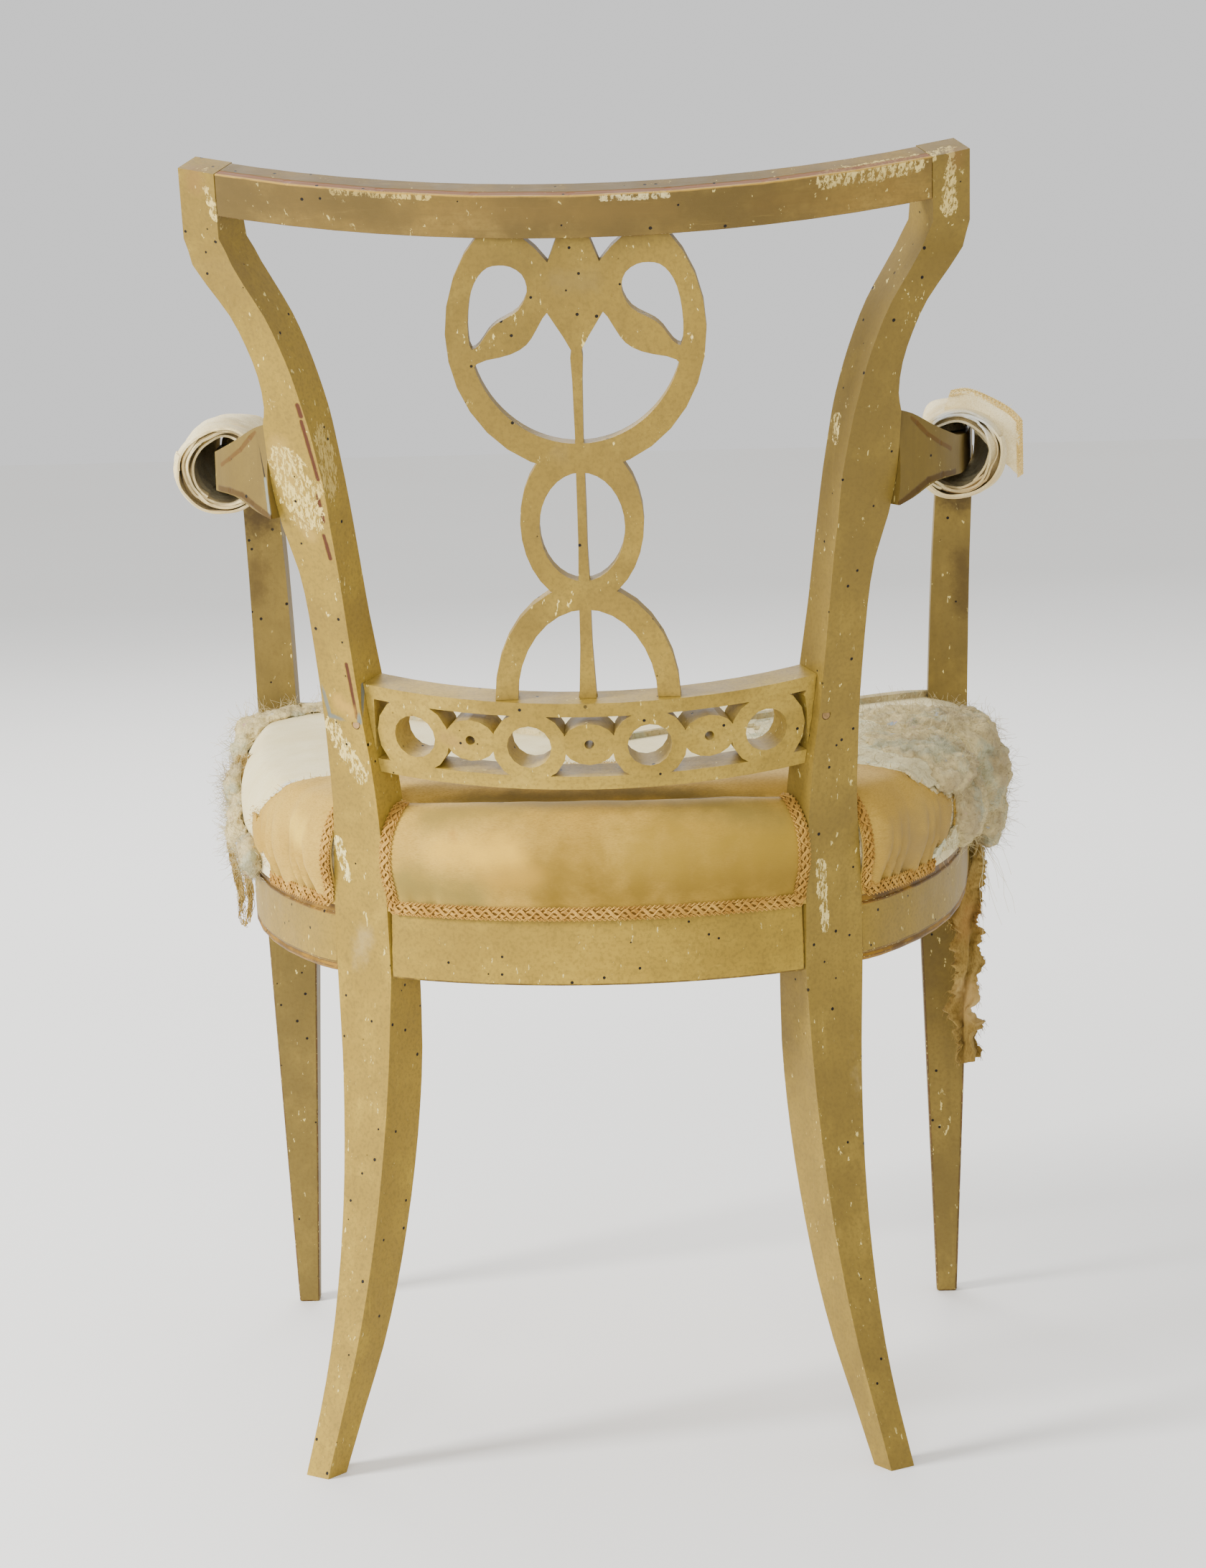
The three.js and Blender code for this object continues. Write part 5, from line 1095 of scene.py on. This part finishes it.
# The right strip: a torn band of cover with short frayed edges and long threads from its top
def tornStripRight():
    piece, ends, edges = ribbon("torn_strip_right_piece", stripRight, across=16, step=1.3, fray=0.95, folds=3.0,
                                seed=4)
    apply(piece, "SOLIDIFY", thickness=0.7 * mm, offset=0)
    fringe = frayAlong("torn_strip_right_fringe", ends, edges, 520, (2, 8), 0.2, 8, 0.7)
    loose = frayAlong("torn_strip_right_threads", ends[:40], edges[:40], 26, (30, 75), 0.18, 11, 0.9)
    finished(piece, goldCloth, ["torn_strip_right"], 80)
    finished(fringe, goldCloth)
    finished(loose, calicoLook)


tornStripRight()
stripLeft = [(262, -296, 436, 8, -18, -4), (269.1, -298, 414, 5, -20, -2), (272, -299.9, 390, 4, -19, 0),
             (270.9, -299.1, 362, 7, -15, 0), (267, -301, 336, 6, -12, 1), (268, -299.1, 310, 3, -6, 1)]


# The left strip has lost most of its cross threads: long threads gather at its edges and hang to a point
def frayedStripLeft():
    chance = random.Random(21)
    rows = evenly(smoothLine(stripLeft, 10), 2.2)
    middles, edges = rows[:, :3], rows[:, 3:]
    count = len(rows)
    lines, crossing = [], []
    for _ in range(150):
        group = chance.choice((-0.95, -0.8, 0.85, 0.97, chance.uniform(-1, 1)))
        first = chance.randrange(0, count // 3)
        last = chance.randrange(2 * count // 3, count)
        phase, swing = chance.uniform(0, 6), chance.uniform(0.4, 2.2)
        spread = chance.gauss(0, 0.09)
        lines.append([middles[i] + edges[i] * (group + spread) + np.array([
            swing * math.sin(i * 0.5 + phase), swing * math.cos(i * 0.37 + phase * 2), 0])
            for i in range(first, last)])
    for _ in range(170):
        i = min(count - 2, int(abs(chance.gauss(0, 0.5)) * count))
        low, high = sorted((chance.uniform(-1.1, 1.1), chance.uniform(-1.1, 1.1)))
        crossing.append([middles[i] + edges[i] * (low + (high - low) * t) + np.array(
            [chance.gauss(0, 0.5), chance.gauss(0, 0.5), 1.6 * math.sin(t * 5 + i) - 4 * t * (1 - t) * 2])
            for t in np.linspace(0, 1, 7)])
    net = finished(threads("frayed_strip_left_threads", lines + crossing, 0.27, 4), goldCloth,
                   ["frayed_strip_left"])
    scraps, frays = [], []
    for first, last, side, seed in ((0, 9, 0.8, 1), (4, 16, -0.85, 2), (14, 27, 0.9, 3), (26, 40, -0.7, 4),
                                    (38, 52, 0.4, 5)):
        part = [np.concatenate([middles[i] + edges[i] * side, edges[i] * 0.16])
                for i in range(first, min(last, count))]
        scrap, ends, ways = ribbon(f"scrap_{seed}", part, 4, 1.4, 0.5, 0.8, seed)
        apply(scrap, "SOLIDIFY", thickness=0.6 * mm, offset=0)
        scraps.append(scrap)
        frays.append(frayAlong(f"scrap_fray_{seed}", ends, ways, 120, (3, 10), 0.2, seed))
    piece = finished(join(scraps, "frayed_strip_left_piece"), goldCloth, ["frayed_strip_left"], 80)
    fringe = finished(join(frays, "frayed_strip_left_fringe"), goldCloth)


frayedStripLeft()
print("torn strips done")

# Cotton wraps round the arms: layers rolled about the arm's line, open behind and closed round the arm in front
wrap = {"radius": 29.5, "around": 96, "along": 60, "outerStep": 2.5, "innerStep": 0.9, "cloth": 1.5, "overlap": 0.35,
        "ruck": 0.8, "swell": 2.4, "lip": 1.1, "lipLong": 2.2, "closesFrom": 0.55, "closedWide": 14.8,
        "closedHigh": 20.5, "closedIn": 6, "closedStep": 1.4, "rightRearDip": 5}
wrapLine = [(245.8, -64, 668.4), (249.6, -105, 666.4), (251, -149, 665.6), (251.8, -199.3, 665), (251.5, -214, 664.5)]
# Each layer: its step inwards, how far its rear edge lies in front of the others, its length, a turn and a waviness
wrapLayers = [(0, 0.0, 1.0, 0.0, 1.6), (1, 4.0, 1.0, 2.1, 2.0), (2, 1.5, 0.94, 3.9, 2.4), (3, 6.0, 0.8, 5.2, 2.0)]


def wrapLayer(name, side, depth, back, length, turn, wavy):
    line = evenly(smoothLine(wrapLine, 10), 1.0)
    around, along = wrap["around"], wrap["along"]
    verts = []
    for i in range(along + 1):
        for k in range(around + 1):
            angle = turn + (2 * math.pi + wrap["overlap"]) * k / around
            t = i / along
            start = back + wavy * math.sin(angle * 2 + depth * 2) + 0.5 * wavy * math.sin(angle * 5 + turn)
            if side < 0:
                start += wrap["rightRearDip"] * math.sin(angle + 0.6)
            place = (start + t * (len(line) - 1 - start) * length) if t else start
            index = int(np.clip(place, 0, len(line) - 1))
            x, y, z = line[index]
            y = line[0][1] - place if place < 0 else y
            outer = (1 + math.cos(angle)) / 2
            layerStep = wrap["innerStep"] + (wrap["outerStep"] - wrap["innerStep"]) * outer
            radius = wrap["radius"] - 0.6 - depth * layerStep
            radius += 1.3 * k / around if k > around * 0.5 else 0
            seed = depth * 7 + side
            slant = 2 * noise.noise(Vector((place * 0.03, angle, seed)))
            radius += wrap["ruck"] * math.sin(place * 0.42 + angle * 1.5 + slant)
            spot = Vector((place * 0.05, math.cos(angle) * 1.3, math.sin(angle) * 1.3 + seed * 0.3))
            radius += wrap["swell"] * noise.noise(spot) - 0.8
            lip = math.exp(-(t * along / wrap["lipLong"]) ** 2)
            radius -= lip * wrap["lip"]
            close = max(0.0, (t * length - wrap["closesFrom"]) / 0.45) ** 2
            wide, high = abs(math.cos(angle)) / wrap["closedWide"], abs(math.sin(angle)) / wrap["closedHigh"]
            fitted = (wide ** 4 + high ** 4) ** -0.25
            radius -= close * (radius - fitted - wrap["closedStep"] * (3 - depth))
            x -= close * wrap["closedIn"]
            verts.append(at(side * (x + radius * math.cos(angle)), y, z + radius * math.sin(angle)))
    piece = sheetOf(name, verts, around + 1)
    apply(piece, "SOLIDIFY", thickness=wrap["cloth"] * mm, offset=0)
    return piece


# Soiled cotton; the right wrap has more stains
def cottonLook(name, side):
    marks = [("wash", (side * 226, -70, 668), (side * 240, -120, 690), 22, "#a98e55", 0.35),
             ("wash", (side * 262, -66, 640), (side * 240, -66, 638), 12, "#c0a468", 0.5)]
    if side < 0:
        marks += [("wash", (-236, -64, 694), (-262, -64, 690), 14, "#c2cdd6", 0.7),
                  ("wash", (-244, -66, 640), (-268, -66, 650), 12, "#c7a562", 0.6)]
    return cloth(name, ("#d9c692", "#e8daae", "#b9a168"), weave=1300, stretch=(1, 0.6, 1), roughness=0.85,
                 depth=0.0002, marks=marks, patches=22)


for side, word in ((1, "left"), (-1, "right")):
    layers = [wrapLayer(f"wrap_{word}_{row[0]}", side, *row) for row in wrapLayers]
    wrapped = join(layers, f"arm_wrap_{word}_piece")
    finished(wrapped, cottonLook(f"cotton_{word}", side), [f"arm_wrap_{word}"], 70)

# The right wrap's tail, which stands out behind it, with a narrow lace edge
tailRows = [(-240, -97, 699.5, -2, 2, 6), (-251, -94, 699, -3, 1, 8), (-266, -92, 688, -3, 0, 13),
            (-279, -90, 677, -2, -1, 17), (-288, -88, 668, 0, -1, 19)]


def tail():
    piece, ends, edges = ribbon("wrap_tail_right_piece", tailRows, across=10, step=1.2, fray=0.08, folds=0.5, seed=2)
    apply(piece, "SOLIDIFY", thickness=1.1 * mm, offset=0)
    rows = evenly(smoothLine(tailRows, 10), 0.8)
    facing = [0, 1.0, 0.2]
    edge = [np.concatenate([row[:3] + row[3:] * 0.97, facing]) for row in rows]
    last = rows[-1]
    edge += [np.concatenate([last[:3] + last[3:] * t, facing]) for t in np.linspace(0.9, -0.95, 28)]
    trim, ground = braid(edge, "tail_trim", 0.5)
    fringe = frayAlong("tail_fray", ends, edges, 60, (2, 6), 0.16, 5)
    finished(piece, cottonLook("cotton_tail", -1), ["wrap_tail_right"], 70)
    finished(fringe, calicoLook)
    finished(trim, laceLook, angle=60)
    finished(ground, laceLook, angle=60)


tail()
for word in ("left", "right"):
    pad = finished(refined(f"arm_pad_{word}", 2.0), flockLook, [f"arm_pad_{word}"], 60)
print("wraps done")

# Floor and soft lights. Each lamp: name, place and size in metres, power in watts
stage = {"world": 0.95, "floorHalf": 6, "aim": (0, 0, 0.45), "lamps": [
    ("key", (3.0, 1.3, 1.9), 1.0, 230), ("fill", (0.2, 3.2, 1.7), 1.6, 60), ("front", (0.4, -2.6, 2.2), 2.0, 75)]}


def makeStage():
    half = stage["floorHalf"]
    floor = built("floor", [(-half, -half, 0), (half, -half, 0), (half, half, 0), (-half, half, 0)], [(0, 1, 2, 3)])
    shader = Shader("floor_finish", roughness=0.9)
    shader.set(Base_Color=shader.mix(shader.noise(2, 2), "#f6f5f2", "#f1f0ec"))
    floor.data.materials.append(shader.material)
    world = bpy.data.worlds.new("world")
    world.use_nodes = True
    sky = world.node_tree.nodes["Background"]
    sky.inputs["Color"].default_value = (1, 1, 1, 1)
    sky.inputs["Strength"].default_value = stage["world"]
    bpy.context.scene.world = world
    for name, place, size, power in stage["lamps"]:
        lamp = bpy.data.lights.new(name, "AREA")
        lamp.size = size
        lamp.energy = power
        made = bpy.data.objects.new(name, lamp)
        bpy.context.collection.objects.link(made)
        made.location = place
        made.rotation_mode = "QUATERNION"
        made.rotation_quaternion = (Vector(stage["aim"]) - Vector(place)).to_track_quat("-Z", "Y")


makeStage()
